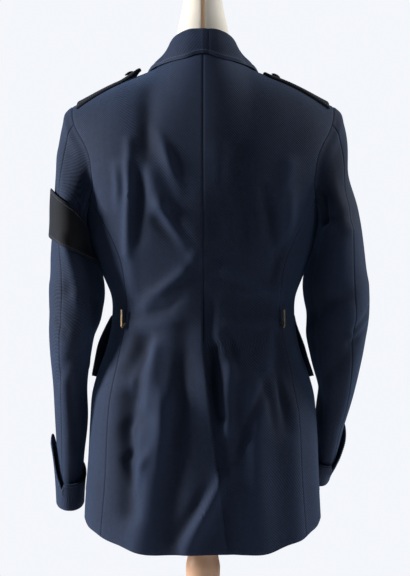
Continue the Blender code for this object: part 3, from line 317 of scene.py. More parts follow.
# The creases between the largest folds: a path of three places seen square, the crease's
# half width on either side of it, and how far it stands out, below 0 for a trough
creaseStrength = 2.1
creaseLeast = 0.0068
creaseColumns = ("x1", "z1", "x2", "z2", "x3", "z3", "left", "right", "rise")
backCreases = (
    (0.0690, 0.935, 0.0480, 0.880, 0.0320, 0.842, 0.009, 0.006, 0.0016),
    (0.0640, 0.830, 0.0480, 0.795, 0.0180, 0.745, 0.008, 0.006, 0.0012),
    (0.0540, 0.830, 0.0330, 0.790, 0.0100, 0.760, 0.010, 0.008, -0.0016),
    (0.1065, 0.915, 0.1040, 0.840, 0.1085, 0.752, 0.007, 0.005, 0.0034),
    (0.0830, 0.960, 0.0860, 0.850, 0.0940, 0.770, 0.011, 0.009, -0.0017),
    (0.1250, 0.880, 0.1210, 0.850, 0.1240, 0.815, 0.006, 0.006, 0.0018),
    (0.1170, 0.872, 0.1160, 0.850, 0.1150, 0.830, 0.004, 0.005, -0.0016),
    (0.0580, 0.920, 0.0500, 0.895, 0.0430, 0.870, 0.006, 0.005, 0.0012),
    (0.0900, 0.690, 0.0600, 0.700, 0.0300, 0.722, 0.006, 0.008, 0.0010),
    (0.0740, 0.668, 0.0500, 0.672, 0.0300, 0.690, 0.006, 0.006, -0.0012),
    (0.0770, 0.628, 0.0850, 0.600, 0.0960, 0.580, 0.008, 0.005, -0.0022),
    (0.0900, 0.602, 0.1010, 0.570, 0.1040, 0.545, 0.006, 0.007, 0.0016),
    (0.1000, 0.522, 0.1120, 0.500, 0.1080, 0.470, 0.010, 0.006, -0.0030),
    (0.0980, 0.475, 0.1130, 0.455, 0.1040, 0.425, 0.006, 0.010, -0.0028),
    (0.0860, 0.500, 0.0940, 0.470, 0.0840, 0.440, 0.008, 0.009, 0.0020),
    (0.0740, 0.470, 0.0900, 0.445, 0.0960, 0.410, 0.008, 0.006, 0.0022),
    (0.0620, 0.560, 0.0560, 0.500, 0.0620, 0.440, 0.010, 0.007, 0.0016),
    (0.0300, 0.600, 0.0340, 0.540, 0.0420, 0.480, 0.009, 0.012, -0.0020),
    (-0.0240, 0.428, -0.0030, 0.385, 0.0250, 0.336, 0.004, 0.013, 0.0030),
    (-0.0150, 0.430, 0.0120, 0.385, 0.0400, 0.345, 0.010, 0.006, -0.0024),
    (-0.0350, 0.578, -0.0270, 0.540, -0.0240, 0.515, 0.006, 0.010, 0.0010),
    (-0.0920, 0.575, -0.0680, 0.520, -0.0450, 0.456, 0.005, 0.009, -0.0024),
    (-0.0360, 0.636, -0.0430, 0.615, -0.0480, 0.592, 0.004, 0.006, -0.0018),
    (-0.1100, 0.586, -0.1160, 0.565, -0.1215, 0.543, 0.004, 0.005, 0.0024),
    (-0.0880, 0.845, -0.0980, 0.800, -0.1030, 0.758, 0.008, 0.006, -0.0026),
    (-0.0430, 0.560, -0.0560, 0.500, -0.0600, 0.430, 0.012, 0.009, -0.0018),
    (-0.0820, 0.580, -0.0960, 0.540, -0.1020, 0.500, 0.007, 0.010, -0.0022),
    (-0.1060, 0.590, -0.1150, 0.550, -0.1200, 0.515, 0.005, 0.007, -0.0026),
    (-0.0950, 0.640, -0.0900, 0.600, -0.0870, 0.560, 0.012, 0.009, 0.0018),
    (-0.0250, 0.905, -0.0280, 0.850, -0.0240, 0.800, 0.014, 0.012, 0.0016),
    (-0.0550, 0.860, -0.0600, 0.800, -0.0560, 0.740, 0.012, 0.014, -0.0014),
    (-0.1180, 0.770, -0.1070, 0.740, -0.0990, 0.705, 0.009, 0.007, -0.0024),
    (-0.1290, 0.840, -0.1260, 0.800, -0.1180, 0.770, 0.007, 0.009, 0.0022),
    (-0.0300, 0.700, -0.0700, 0.694, -0.1080, 0.702, 0.006, 0.007, 0.0014),
    (-0.0340, 0.652, -0.0750, 0.650, -0.1100, 0.655, 0.006, 0.007, 0.0012),
    (0.0350, 0.655, 0.0700, 0.650, 0.1050, 0.652, 0.006, 0.007, 0.0010),
)
frontCreases = (
    (0.1000, 0.850, 0.0850, 0.790, 0.0600, 0.740, 0.009, 0.007, 0.0020),
    (-0.0980, 0.845, -0.0820, 0.785, -0.0640, 0.735, 0.008, 0.009, 0.0018),
    (0.0780, 0.760, 0.0600, 0.720, 0.0380, 0.700, 0.007, 0.009, -0.0018),
    (-0.0720, 0.755, -0.0560, 0.715, -0.0350, 0.692, 0.008, 0.007, -0.0016),
    (0.0250, 0.690, 0.0550, 0.682, 0.0900, 0.690, 0.006, 0.007, 0.0014),
    (-0.0280, 0.686, -0.0600, 0.680, -0.0920, 0.688, 0.007, 0.006, 0.0013),
    (0.0280, 0.520, 0.0330, 0.450, 0.0300, 0.380, 0.010, 0.008, 0.0018),
    (-0.0300, 0.500, -0.0320, 0.440, -0.0360, 0.375, 0.009, 0.011, 0.0016),
    (0.1180, 0.900, 0.1300, 0.860, 0.1340, 0.815, 0.009, 0.007, -0.0018),
    (-0.1180, 0.905, -0.1290, 0.865, -0.1350, 0.820, 0.008, 0.009, -0.0017),
)


def tableRow(columns, row):
    return dict(zip(columns, row))


def hermite(t, start, leaving, end, arriving):
    # a smooth way from start to end with a slope at each
    return (
        (2 * t**3 - 3 * t**2 + 1) * start
        + (t**3 - 2 * t**2 + t) * leaving
        + (3 * t**2 - 2 * t**3) * end
        + (t**3 - t**2) * arriving
    )


def readTable(table, column, at):
    # a smooth curve through one column of a table whose first column rises
    place = table["columns"].index(column)
    keys = np.array([row[0] for row in table["rows"]])
    values = np.array([row[place] for row in table["rows"]])
    slopes = np.gradient(values, keys)
    at = np.clip(np.asarray(at, dtype=float), keys[0], keys[-1])
    low = np.clip(np.searchsorted(keys, at) - 1, 0, len(keys) - 2)
    span = keys[low + 1] - keys[low]
    t = (at - keys[low]) / span
    return hermite(t, values[low], span * slopes[low], values[low + 1], span * slopes[low + 1])


def ease(value, start, end):
    # 0 before start, 1 after end, and a soft step between them
    t = np.clip((np.asarray(value, dtype=float) - start) / (end - start), 0.0, 1.0)
    return t * t * (3 - 2 * t)


def bell(distance, reach, power=2):
    # 1 in the middle, and fading out past the reach
    return np.exp(-((distance / reach) ** power))


def signedPower(value, power):
    return np.sign(value) * np.abs(value) ** power


def unit(vectors):
    return vectors / np.maximum(np.linalg.norm(vectors, axis=-1, keepdims=True), 1e-12)


def mirrored(points, side):
    return points * np.array([side, 1.0, 1.0])


def sideName(side):
    return "left" if side > 0 else "right"


def besideLine(x, z, start, end):
    # for each place, the share of the way along a line, the distance from it, and its hand
    stepX, stepZ = end[0] - start[0], end[1] - start[1]
    offX, offZ = x - start[0], z - start[1]
    t = np.clip((offX * stepX + offZ * stepZ) / (stepX**2 + stepZ**2), 0, 1)
    offX, offZ = offX - t * stepX, offZ - t * stepZ
    return t, np.hypot(offX, offZ), offX * stepZ - offZ * stepX


def foldShift(x, z, folds):
    # how far the folds move the cloth out at a place seen from their side
    shift = np.zeros_like(x)
    for row in folds:
        fold = tableRow(foldColumns, row)
        apart = besideLine(x, z, (fold["fromX"], fold["fromZ"]), (fold["toX"], fold["toZ"]))[1]
        shift += fold["rise"] * bell(apart, fold["reach"])
    return shift


def creaseShift(x, z, creases):
    # soft troughs and ridges that fade at both ends, with one side steeper than the other
    shift = np.zeros_like(x)
    for row in creases:
        crease = tableRow(creaseColumns, row)
        path = [(crease[f"x{place}"], crease[f"z{place}"]) for place in (1, 2, 3)]
        best, along, hand = np.full(x.shape, 1e9), np.zeros(x.shape), np.zeros(x.shape)
        for part in range(2):
            t, apart, beside = besideLine(x, z, path[part], path[part + 1])
            nearer = apart < best
            best = np.where(nearer, apart, best)
            along = np.where(nearer, 0.5 * (part + t), along)
            hand = np.where(nearer, beside, hand)
        reach = np.maximum(np.where(hand > 0, crease["right"], crease["left"]), creaseLeast)
        fade = 0.35 + 0.65 * np.sin(math.pi * np.clip(along, 0.02, 0.98))
        shift += crease["rise"] * fade * bell(best, reach)
    return creaseStrength * shift


def bothShifts(x, z):
    # what the folds and creases do behind, then in front
    sets = ((backFolds, backCreases), (frontFolds, frontCreases))
    return [foldShift(x, z, folds) + creaseShift(x, z, creases) for folds, creases in sets]


# The slight unevenness of cloth that hangs free, and of the hem round the body
waveColumns = ("across", "up", "start", "rise")
hangWaves = (
    (41, 9, 0.6, 0.00070),
    (23, -31, 2.1, 0.00070),
    (83, 17, 0.0, 0.00049),
)
hemWaves = (
    (9, 0, 0.6, 0.0011),
    (17, 0, 2.0, 0.0007),
)


def waveShift(x, z, waves):
    rows = [tableRow(waveColumns, row) for row in waves]
    return sum(row["rise"] * np.sin(row["across"] * x + row["up"] * z + row["start"]) for row in rows)


def softRoot(x):
    return np.sqrt(np.asarray(x, dtype=float) ** 2 + shoulderRound**2)


def insideNeck(x):
    return np.clip(1 - (np.abs(x) / neckHalfWidth) ** 2, 0, 1) ** 2


def ridgeHeight(x):
    # height of the shoulder line, and of the surface it would meet inside the neck
    x = np.abs(x)
    line = shoulderTip[1] + shoulderSlope * (softRoot(shoulderTip[0]) - softRoot(x))
    along = np.clip((x - neckHalfWidth) / (shoulderTip[0] - neckHalfWidth), 0, 1)
    return line + shoulderFill * np.sin(math.pi * along) ** 2 + napeRise * insideNeck(x)


def topHeight(x):
    # height of the panels' top edge: the neck seam, then the shoulder seam
    return ridgeHeight(x) - neckSeamDrop * insideNeck(x)


def angleAt(x, height):
    # angle, from 0 at the middle to a quarter turn at the side, of a distance out
    share = np.clip(np.abs(x) / readTable(torso, "halfWidth", height), 0, 1)
    return np.sign(x) * np.arcsin(share ** (bodyPower / 2))


def outAt(angle, height):
    # distance out from the centre line, of an angle
    return readTable(torso, "halfWidth", height) * signedPower(np.sin(angle), 2 / bodyPower)


def depthAt(table, behind, height):
    return np.where(behind, readTable(table, "back", height), readTable(table, "front", height))


def closing(x, height):
    # how much of the body's depth is left as the cloth closes over the shoulder
    share = (height - armholeBase) / (ridgeHeight(x) - armholeBase)
    return np.sqrt(1 - np.clip(share, 0, 1) ** 2)


def bodyPoint(angle, height, side, lift=0.0):
    # a point on the outer face of the body's cloth; side is 1 for the wearer's left
    cosine = np.cos(angle)
    width = readTable(torso, "halfWidth", height)
    depth = depthAt(torso, cosine >= 0, height)
    x = outAt(angle, height)
    y = depth * signedPower(cosine, 2 / bodyPower) * closing(x, height)
    y += np.sign(cosine) * 0.5 * seamGap * ease(height, armholeBase, armholeBase + 0.05)
    outX, outY = x / width**2, y / depth**2
    length = np.maximum(np.hypot(outX, outY), 1e-9)
    behind, before = bothShifts(x * side, height)
    fold = behind * ease(cosine, 0.05, 0.45) + before * ease(-cosine, 0.05, 0.45)
    fold += waveShift(x * side, height, hangWaves)
    shift = fold * ease(ridgeHeight(x) - height, 0.0, 0.05) + lift
    return np.stack(
        [side * (x + shift * outX / length), y + shift * outY / length, height + 0 * x], axis=-1
    )


def hemAt(angle):
    rise = hemRise * ease(np.degrees(np.abs(angle)), hemRiseFrom, hemRiseTo)
    return hemHeight + rise + waveShift(angle, 0.0, hemWaves)


def verticalPlaces(v, hem):
    # height below the armhole, share of the rise over the shoulder, and the armhole's height
    below = np.clip(v / lowerShare, 0, 1)
    above = np.sin(0.5 * math.pi * np.clip((v - lowerShare) / (1 - lowerShare), 0, 1))
    return hem + (armholeBase - hem) * below, above, armholeBase + (shoulderTip[1] - armholeBase) * above


def armholeAngle(height):
    return angleAt(readTable(armhole, "reach", height), height)


def seamAngle(seam, height):
    return np.radians(readTable(sideSeams, seam, height))


def ventEdge(height):
    # how far the wearer's left back reaches past the centre at the vent
    return ventReach * np.clip((ventTop - height) / (ventTop - hemHeight), 0, 1) ** 1.1


def backSurface(side):
    # the back panel: u from the centre back to the side, v from the hem to the top

    def surface(u, v):
        height, above, edgeHeight = verticalPlaces(v, hemAt(u * seamAngle("back", hemHeight)))
        past = ventEdge(height) if side > 0 else ventUnderlap * ease(ventTop - height, 0, 0.02)
        start = angleAt(-past, height) + seamHalfGap
        lowAngle = start + u * (seamAngle("back", height) - seamHalfGap - start)
        topX = outAt(seamHalfGap + u * (armholeAngle(shoulderTip[1]) - 2 * seamHalfGap), shoulderTip[1])
        highHeight = armholeBase + (topHeight(topX) - armholeBase) * above
        x = outAt(seamHalfGap + u * (armholeAngle(edgeHeight) - 2 * seamHalfGap), edgeHeight)
        inUpper = v > lowerShare
        angle = np.where(inUpper, angleAt(x, highHeight), lowAngle)
        height = np.where(inUpper, highHeight, height)
        return bodyPoint(angle, height, side, ventLift(angle, height, side))

    return surface


ventGape = {
    "depth": 0.0068,
    "height": 0.566,
    "reach": 0.042,
    "lip": 0.020,
    "lift": 0.45,
}


def ventLift(angle, height, side):
    # the wearer's right back sinks a little where the left one laps over it
    x = outAt(angle, height)
    gape = ventGape["depth"] * bell(height - ventGape["height"], ventGape["reach"])
    gape = gape + 0.25 * ventGape["depth"] * ease(-height, -ventTop, -ventTop + 0.06)
    if side > 0:
        return ventGape["lift"] * gape * (1 - ease(x + ventEdge(height), 0.0, ventGape["lip"]))
    down = ease(-height, -(ventTop + 0.075), -(ventTop + 0.036))
    return -(ventSink + gape) * down * (1 - ease(x - ventEdge(height), 0.006, 0.024))


def sideSurface(side):
    # the side panel: u from the back seam to the front seam, v up to the armhole

    def surface(u, v):
        seamBack, seamFront = seamAngle("back", hemHeight), seamAngle("front", hemHeight)
        hem = hemAt(seamBack + u * (seamFront - seamBack))
        top = armholeBase - armholeDip * np.clip(4 * u * (1 - u), 0, 1) ** 0.7
        height = hem + (top - hem) * v
        start = seamAngle("back", height) + seamHalfGap
        end = seamAngle("front", height) - seamHalfGap
        return bodyPoint(start + u * (end - start), height, side)

    return surface


def frontEdge(height):
    # distance from the centre front to the front's edge, then to the roll line
    top = ridgeHeight(neckHalfWidth)
    rise = np.clip((height - lapelBreak) / (top - lapelBreak), 0, 1)
    return -frontLap + (neckHalfWidth + frontLap) * rise


def frontLift(x, height, side):
    # the wearer's left front laps over the right one
    return side * frontLapLift * (1 - ease(x, frontLap + 0.008, frontLap + 0.035))


def frontSurface(side):
    # the front panel: u from the side to the front edge, v from the hem to the top

    def surface(u, v):
        height, above, edgeHeight = verticalPlaces(v, hemAt(seamAngle("front", hemHeight)))
        start = seamAngle("front", height) + seamHalfGap
        lowAngle = start + u * (math.pi - angleAt(frontEdge(height), height) - start)
        tipAngle = armholeAngle(shoulderTip[1]) - seamHalfGap
        neckAngle = angleAt(neckHalfWidth, shoulderTip[1])
        topX = outAt(tipAngle + u * (neckAngle - tipAngle), shoulderTip[1])
        highHeight = armholeBase + (topHeight(topX) - armholeBase) * above
        rollHeight = armholeBase + (ridgeHeight(neckHalfWidth) - armholeBase) * above
        rollAngle = angleAt(frontEdge(rollHeight), edgeHeight)
        highEdge = armholeAngle(edgeHeight) - seamHalfGap
        x = outAt(highEdge + u * (rollAngle - highEdge), edgeHeight)
        inUpper = v > lowerShare
        angle = np.where(inUpper, math.pi - angleAt(x, highHeight), lowAngle)
        height = np.where(inUpper, highHeight, height)
        return bodyPoint(angle, height, side, frontLift(outAt(angle, height), height, side))

    return surface


def surfaceNormals(surface, u, v, side, step=0.0005):
    # unit normals of a surface, pointing out of the garment
    across = surface(np.clip(u + step, 0, 1), v) - surface(np.clip(u - step, 0, 1), v)
    up = surface(u, np.clip(v + step, 0, 1)) - surface(u, np.clip(v - step, 0, 1))
    return unit(side * np.cross(up, across))


def outwardNormals(normals, points, row, middle=None):
    # the normals, turned round if they point in at one row
    middle = points[row].mean(axis=0) if middle is None else middle
    return -normals if np.sum(normals[row] * (points[row] - middle)) < 0 else normals


def armPoint(arm, side, turn, height, lift=0.0):
    # a point on the sleeve below the shoulder, at a turn round it
    step = 0.004

    def centre(z):
        z = np.asarray(z, dtype=float)
        return np.stack([readTable(arm, "out", z), -readTable(arm, "forward", z), z], axis=-1)

    # the rings tilt with the arm, and half as much at both of its ends
    low, high = arm["rows"][0][0], arm["rows"][-1][0]
    near = np.clip(height, low + step, high - step)
    slope = centre(near + step) - centre(near - step)
    tilt = ease(height, low, low + 0.05) * (1 - ease(height, high - 0.05, high))
    slope[..., :2] *= (0.5 + 0.5 * tilt)[..., None]
    along = unit(slope)
    swing = np.radians(readTable(arm, "turn", height))
    out = np.stack([np.cos(swing), np.sin(swing), 0 * swing], axis=-1)
    out = unit(out - along * np.sum(out * along, axis=-1, keepdims=True))
    point = centre(height)
    angle = 2 * math.pi * turn
    for column, share, way in (
        ("halfWidth", np.cos(angle), out),
        ("halfDepth", np.sin(angle), np.cross(along, out)),
    ):
        reach = (readTable(arm, column, height) + lift) * signedPower(share, armRoundness)
        point = point + reach[..., None] * way
    return mirrored(point, side)


def armholeLoop(side, turns):
    # points, normals and outward directions along the armhole seam
    share = armholeShare
    back, panel, front = backSurface(side), sideSurface(side), frontSurface(side)
    points, normals = [], []
    for turn in turns % 1.0:
        if turn <= share:
            surface, u, v = back, 1.0, 1 - (1 - lowerShare) * turn / share
        elif turn < 1 - share:
            surface, u, v = panel, (turn - share) / (1 - 2 * share), 1.0
        else:
            surface, u, v = front, 0.0, lowerShare + (1 - lowerShare) * (turn - 1 + share) / share
        u, v = np.array([u]), np.array([v])
        points.append(surface(u, v)[0])
        normals.append(surfaceNormals(surface, u, v, side)[0])
    points, normals = np.array(points), np.array(normals)
    return points, normals, unit(side * np.cross(np.gradient(points, axis=0), normals))


def shoulderHeight(x, y):
    # height of the cloth over the shoulder at a place seen from above
    height = ridgeHeight(x)
    for _ in range(6):
        width = readTable(torso, "halfWidth", height)
        across = (1 - np.clip(np.abs(x) / width, 0, 1) ** bodyPower) ** (1 / bodyPower)
        share = np.clip(np.abs(y) / (depthAt(torso, y >= 0, height) * across), 0, 1)
        height = armholeBase + (ridgeHeight(x) - armholeBase) * np.sqrt(1 - share**2)
    return height


class NodeMaker:
    # builds the nodes of a material or a world; a socket is named by keyword, with _ for a
    # space, or by i and its number
    def __init__(self, owner):
        self.owner = owner
        owner.use_nodes = True
        self.tree = owner.node_tree
        self.tree.nodes.clear()

    def add(self, kind, settings=None, **sockets):
        node = self.tree.nodes.new("ShaderNode" + kind)
        for key, value in (settings or {}).items():
            setattr(node, key, value)
        for key, value in sockets.items():
            numbered = key[0] == "i" and key[1:].isdigit()
            socket = node.inputs[int(key[1:]) if numbered else key.replace("_", " ")]
            if isinstance(value, bpy.types.NodeSocket):
                self.tree.links.new(value, socket)
            elif socket.type == "RGBA":
                socket.default_value = (*value, 1)
            else:
                socket.default_value = value
        return node

    def place(self):
        return self.add("TexCoord").outputs["Object"]

    def mapped(self, vector, **sockets):
        return self.add("Mapping", Vector=vector, **sockets).outputs[0]

    def noise(self, vector, scale, detail, roughness=0.5):
        noise = self.add("TexNoise", Vector=vector, Scale=scale, Detail=detail, Roughness=roughness)
        return noise.outputs["Fac"]

    def bands(self, vector, scale, direction, distortion, detail=2.0):
        settings = {"wave_type": "BANDS", "bands_direction": direction}
        wave = self.add("TexWave", settings, Vector=vector, Scale=scale, Distortion=distortion, Detail=detail)
        return wave.outputs["Fac"]

    def calculate(self, operation, first, second=0.0, third=0.0):
        return self.add("Math", {"operation": operation}, i0=first, i1=second, i2=third).outputs[0]

    def mix(self, source, weight, first, second):
        factor = self.calculate("MULTIPLY", source, weight)
        return self.add("Mix", {"data_type": "RGBA"}, i0=factor, i6=first, i7=second).outputs[2]

    def ramp(self, factor, stops):
        node = self.add("ValToRGB", Fac=factor)
        bar = node.color_ramp
        while len(bar.elements) < len(stops):
            bar.elements.new(0.5)
        for element, (place, colour) in zip(bar.elements, stops):
            element.position = place
            element.color = (*colour, 1)
        return node.outputs["Color"]

    def finish(self, colour, height=None, strength=0.5, distance=0.0001, **sockets):
        # a Principled BSDF with a bump of this height ends the material
        if height is not None:
            bump = self.add("Bump", Height=height, Strength=strength, Distance=distance)
            sockets["Normal"] = bump.outputs[0]
        shader = self.add("BsdfPrincipled", Base_Color=colour, **sockets)
        self.add("OutputMaterial", Surface=shader.outputs[0])
        return self.owner


# Camera, light and floor

view = {
    "place": (-0.003, 2.400, 0.703),
    "lens": 100.0,
    "sensor": 36.0,
}
lamps = {
    "columns": ("name", "place", "size", "power", "aimHeight"),
    "rows": (
        ("key", (2.74, 0.24, 1.50), 0.70, 165.0, 0.72),
        ("fill", (-2.40, 1.10, 1.20), 1.60, 6.5, 0.72),
        ("rim", (-1.90, -0.70, 1.75), 1.20, 34.0, 0.72),
        ("neck", (-0.62, 0.42, 1.50), 0.22, 1.7, 1.15),
    ),
}
room = {
    "around": (0.90, 0.93, 0.97),
    "aroundStrength": 0.07,
    "backdrop": (0.905, 0.925, 0.965),
    "floorRadius": 1.30,
    "floorColour": (0.78, 0.79, 0.82),
    "floorDrop": 0.0005,
}


def addObject(name, data):
    thing = bpy.data.objects.new(name, data)
    bpy.context.scene.collection.objects.link(thing)
    return thing


def aimAt(thing, place, target):
    thing.location = place
    thing.rotation_euler = (Vector(target) - thing.location).to_track_quat("-Z", "Y").to_euler()


def addCamera():
    data = bpy.data.cameras.new("camera")
    data.sensor_width = view["sensor"]
    data.lens = view["lens"]
    camera = addObject("camera", data)
    aimAt(camera, view["place"], (view["place"][0], 0.0, view["place"][2]))
    bpy.context.scene.camera = camera


def addLights():
    for row in lamps["rows"]:
        lamp = tableRow(lamps["columns"], row)
        data = bpy.data.lights.new(lamp["name"], "AREA")
        data.shape = "DISK"
        data.size = lamp["size"]
        data.energy = lamp["power"]
        aimAt(addObject(lamp["name"], data), lamp["place"], (0.0, 0.0, lamp["aimHeight"]))


def addRoom():
    # the camera sees a plain pale backdrop, and the room gives a weaker light from all round
    world = bpy.data.worlds.new("studio")
    bpy.context.scene.world = world
    bpy.context.scene.view_settings.view_transform = "Standard"
    bpy.context.scene.view_settings.look = "None"
    maker = NodeMaker(world)
    seen = maker.add("Background", Color=room["backdrop"]).outputs[0]
    around = maker.add("Background", Color=room["around"], Strength=room["aroundStrength"]).outputs[0]
    toCamera = maker.add("LightPath").outputs["Is Camera Ray"]
    mix = maker.add("MixShader", i0=toCamera, i1=around, i2=seen)
    maker.add("OutputWorld", Surface=mix.outputs[0])
    mesh = bpy.data.meshes.new("floor")
    work = bmesh.new()
    bmesh.ops.create_circle(work, cap_ends=True, segments=96, radius=room["floorRadius"])
    work.to_mesh(mesh)
    work.free()
    ground = addObject("floor", mesh)
    ground.location = (0, 0, solidLow[2] - room["floorDrop"])
    ground.data.materials.append(paperFinish())


# Finishes

twill = {
    "dark": (0.0034, 0.0064, 0.0172),
    "light": (0.0135, 0.0240, 0.0560),
    # the lighter colour for edge wear and painted highlights on edges and ridges
    "wearAndHighlight": (0.0560, 0.0740, 0.1200),
    # the darker colour for painted shade in the seam grooves and painted shadow in the belt slits
    "seam": (0.0030, 0.0040, 0.0090),
    "ribPitch": 0.0028,
    "ribTurn": -42.0,
    "ribDepth": 0.00042,
    "roughness": 0.80,
    "sheen": 0.22,
}
blackCloth = {
    "dark": (0.0030, 0.0030, 0.0036),
    "light": (0.0090, 0.0090, 0.0105),
    # the lighter colour for edge wear and painted highlights on edges and ridges
    "wearAndHighlight": (0.0350, 0.0350, 0.0380),
    # the darker colour for painted shade in the seam grooves and painted shadow in the belt slits
    "seam": (0.0010, 0.0010, 0.0012),
    "ribPitch": 0.0012,
    "ribTurn": -45.0,
    "ribDepth": 0.00012,
    "roughness": 0.86,
    "sheen": 0.10,
}
clothGrain = {
    "columns": ("name", "scale", "detail", "roughness"),
    "rows": (
        ("cloud", 9.0, 4.0, 0.55),
        ("mottle", 150.0, 5.0, 0.70),
        ("fuzz", 900.0, 3.0, 0.60),
    ),
    "streakScale": (160.0, 9.0, 1.0),
    "yarnPitch": 0.42,
}
clothTone = {
    "start": -0.36,
    # the tone's weights; the fold weight paints shade into the fold troughs and light onto the fold ridges
    "weights": {"cloud": 0.50, "mottle": 0.55, "ribs": 0.42, "fuzz": 0.42, "streak": 0.16, "relief": 0.22},
    "darkAt": 0.36,
    "lightAt": 0.92,
    # how far the edge wear and painted highlights lighten the cloth
    "wearAndHighlight": 0.55,
    # how strongly the painted shade in seams and slits darkens the cloth
    "seam": 0.35,
}
clothBump = {
    "fuzz": 0.45,
    "yarns": 0.35,
    "strength": 0.55,
}
clothShine = {
    "Sheen_Roughness": 0.45,
    "Sheen_Tint": (0.32, 0.54, 1.00),
    "Specular_IOR_Level": 0.22,
}


def bandScale(pitch):
    return 2 * math.pi / (20 * pitch)


def clothFinish(name, look):
    # twill ribs at their real pitch, a fuzz of fibres, wear with painted highlights on edges and ridges,
    # painted shade and light on the folds, and painted shade in seams and slits
    maker = NodeMaker(bpy.data.materials.new(name))
    uv = maker.add("UVMap").outputs["UV"]
    turned = maker.mapped(uv, Rotation=(0, 0, math.radians(look["ribTurn"])))
    place = maker.place()
    grain = {
        "ribs": maker.bands(turned, bandScale(look["ribPitch"]), "X", 1.1),
        "yarns": maker.bands(turned, bandScale(clothGrain["yarnPitch"] * look["ribPitch"]), "Y", 1.5, 1.0),
        "streak": maker.noise(maker.mapped(uv, Scale=clothGrain["streakScale"]), 1.0, 2.0),
    }
    for key, *numbers in clothGrain["rows"]:
        grain[key] = maker.noise(place, *numbers)
    for key in ("relief", "edge", "shade"):
        grain[key] = maker.add("Attribute", {"attribute_name": key}).outputs["Fac"]
    tone = clothTone["start"]
    for key, weight in clothTone["weights"].items():
        tone = maker.calculate("MULTIPLY_ADD", grain[key], weight, tone)
    colour = maker.ramp(tone, ((clothTone["darkAt"], look["dark"]), (clothTone["lightAt"], look["light"])))
    # the edges, seam ridges, folds and the collar's turned line are lighter: wear with painted highlights
    wearAndHighlightMask = maker.calculate("MULTIPLY_ADD", grain["fuzz"], 0.9, -0.1)
    wearAndHighlightMask = maker.calculate("MULTIPLY", grain["edge"], wearAndHighlightMask)
    colour = maker.mix(wearAndHighlightMask, clothTone["wearAndHighlight"], colour, look["wearAndHighlight"])
    # painted shade in the seam grooves and painted shadow in the belt slits
    colour = maker.mix(grain["shade"], clothTone["seam"], colour, look["seam"])
    height = maker.calculate("MULTIPLY_ADD", grain["fuzz"], clothBump["fuzz"], grain["ribs"])
    height = maker.calculate("MULTIPLY_ADD", grain["yarns"], clothBump["yarns"], height)
    return maker.finish(
        colour, height, clothBump["strength"], look["ribDepth"],
        Roughness=look["roughness"], Sheen_Weight=look["sheen"], **clothShine,
    )


def threadFinish(name, dark, light):
    maker = NodeMaker(bpy.data.materials.new(name))
    strand = maker.noise(maker.place(), 1500.0, 2.0)
    return maker.finish(maker.ramp(strand, ((0.2, dark), (0.8, light))), strand, Roughness=0.6)


def brassFinish(name, dark, middle, light):
    maker = NodeMaker(bpy.data.materials.new(name))
    place = maker.place()
    tarnish = maker.noise(place, 140.0, 5.0)
    scratch = maker.noise(maker.mapped(place, Scale=(1.0, 1.0, 0.08)), 1800.0, 2.0)
    rough = maker.add("MapRange", Value=scratch, To_Min=0.24, To_Max=0.46).outputs[0]
    colour = maker.ramp(tarnish, ((0.30, dark), (0.60, middle), (0.80, light)))
    return maker.finish(colour, scratch, 0.25, 0.00008, Metallic=1.0, Roughness=rough)


def cottonFinish():
    maker = NodeMaker(bpy.data.materials.new("creamCotton"))
    place = maker.place()
    warp, weft = (maker.bands(place, bandScale(0.0012), way, 0.8) for way in "XZ")
    weave = maker.calculate("ADD", warp, weft)
    stain = maker.noise(place, 14.0, 4.0)
    colour = maker.ramp(stain, ((0.30, (0.78, 0.71, 0.60)), (0.62, (0.90, 0.85, 0.76))))
    colour = maker.mix(weave, 0.06, colour, (0.55, 0.48, 0.38))
    # the cover's seam tape, down the middle of its back
    across = maker.add("SeparateXYZ", Vector=place).outputs
    beside = maker.calculate("ABSOLUTE", across["X"])
    tape = maker.add(
        "MapRange", {"interpolation_type": "SMOOTHSTEP"},
        Value=beside, From_Min=0.0012, From_Max=0.0042, To_Min=0.85, To_Max=0.0,
    )
    behind = maker.calculate("GREATER_THAN", across["Y"], 0.0)
    colour = maker.mix(tape.outputs[0], behind, colour, (0.50, 0.26, 0.11))
    return maker.finish(colour, weave, 0.4, 0.00015, Roughness=0.86, Sheen_Weight=0.15)


def woodFinish():
    maker = NodeMaker(bpy.data.materials.new("turnedWood"))
    drawn = maker.mapped(maker.place(), Scale=(1.0, 1.0, 0.07))
    bend = maker.calculate("MULTIPLY", maker.noise(drawn, 18.0, 3.0), 0.85)
    pore = maker.noise(drawn, 620.0, 2.0)
    tone = maker.calculate("MULTIPLY_ADD", maker.bands(drawn, 7.0, "X", 9.0, 3.0), 0.22, bend)
    stops = ((0.15, (0.48, 0.255, 0.145)), (0.55, (0.66, 0.405, 0.255)), (0.90, (0.78, 0.530, 0.370)))
    colour = maker.mix(pore, 0.25, maker.ramp(tone, stops), (0.26, 0.12, 0.06))
    rough = maker.add("MapRange", Value=pore, To_Min=0.34, To_Max=0.50).outputs[0]
    return maker.finish(colour, pore, 0.2, 0.0002, Roughness=rough, Coat_Weight=0.25, Coat_Roughness=0.25)


def paperFinish():
    maker = NodeMaker(bpy.data.materials.new("paleFloor"))
    grain = maker.noise(maker.place(), 240.0, 3.0)
    dim = tuple(0.96 * part for part in room["floorColour"])
    return maker.finish(maker.ramp(grain, ((0.3, dim), (0.7, room["floorColour"]))), Roughness=0.9)


addCamera()
addLights()
addRoom()
navy = clothFinish("navyTwill", twill)
black = clothFinish("blackCloth", blackCloth)
thread = threadFinish("sewingThread", (0.032, 0.046, 0.085), (0.090, 0.120, 0.190))
seamThread = threadFinish("formSeamThread", (0.42, 0.22, 0.10), (0.60, 0.36, 0.20))
brass = brassFinish("satinBrass", (0.36, 0.26, 0.12), (0.66, 0.54, 0.33), (0.80, 0.72, 0.55))
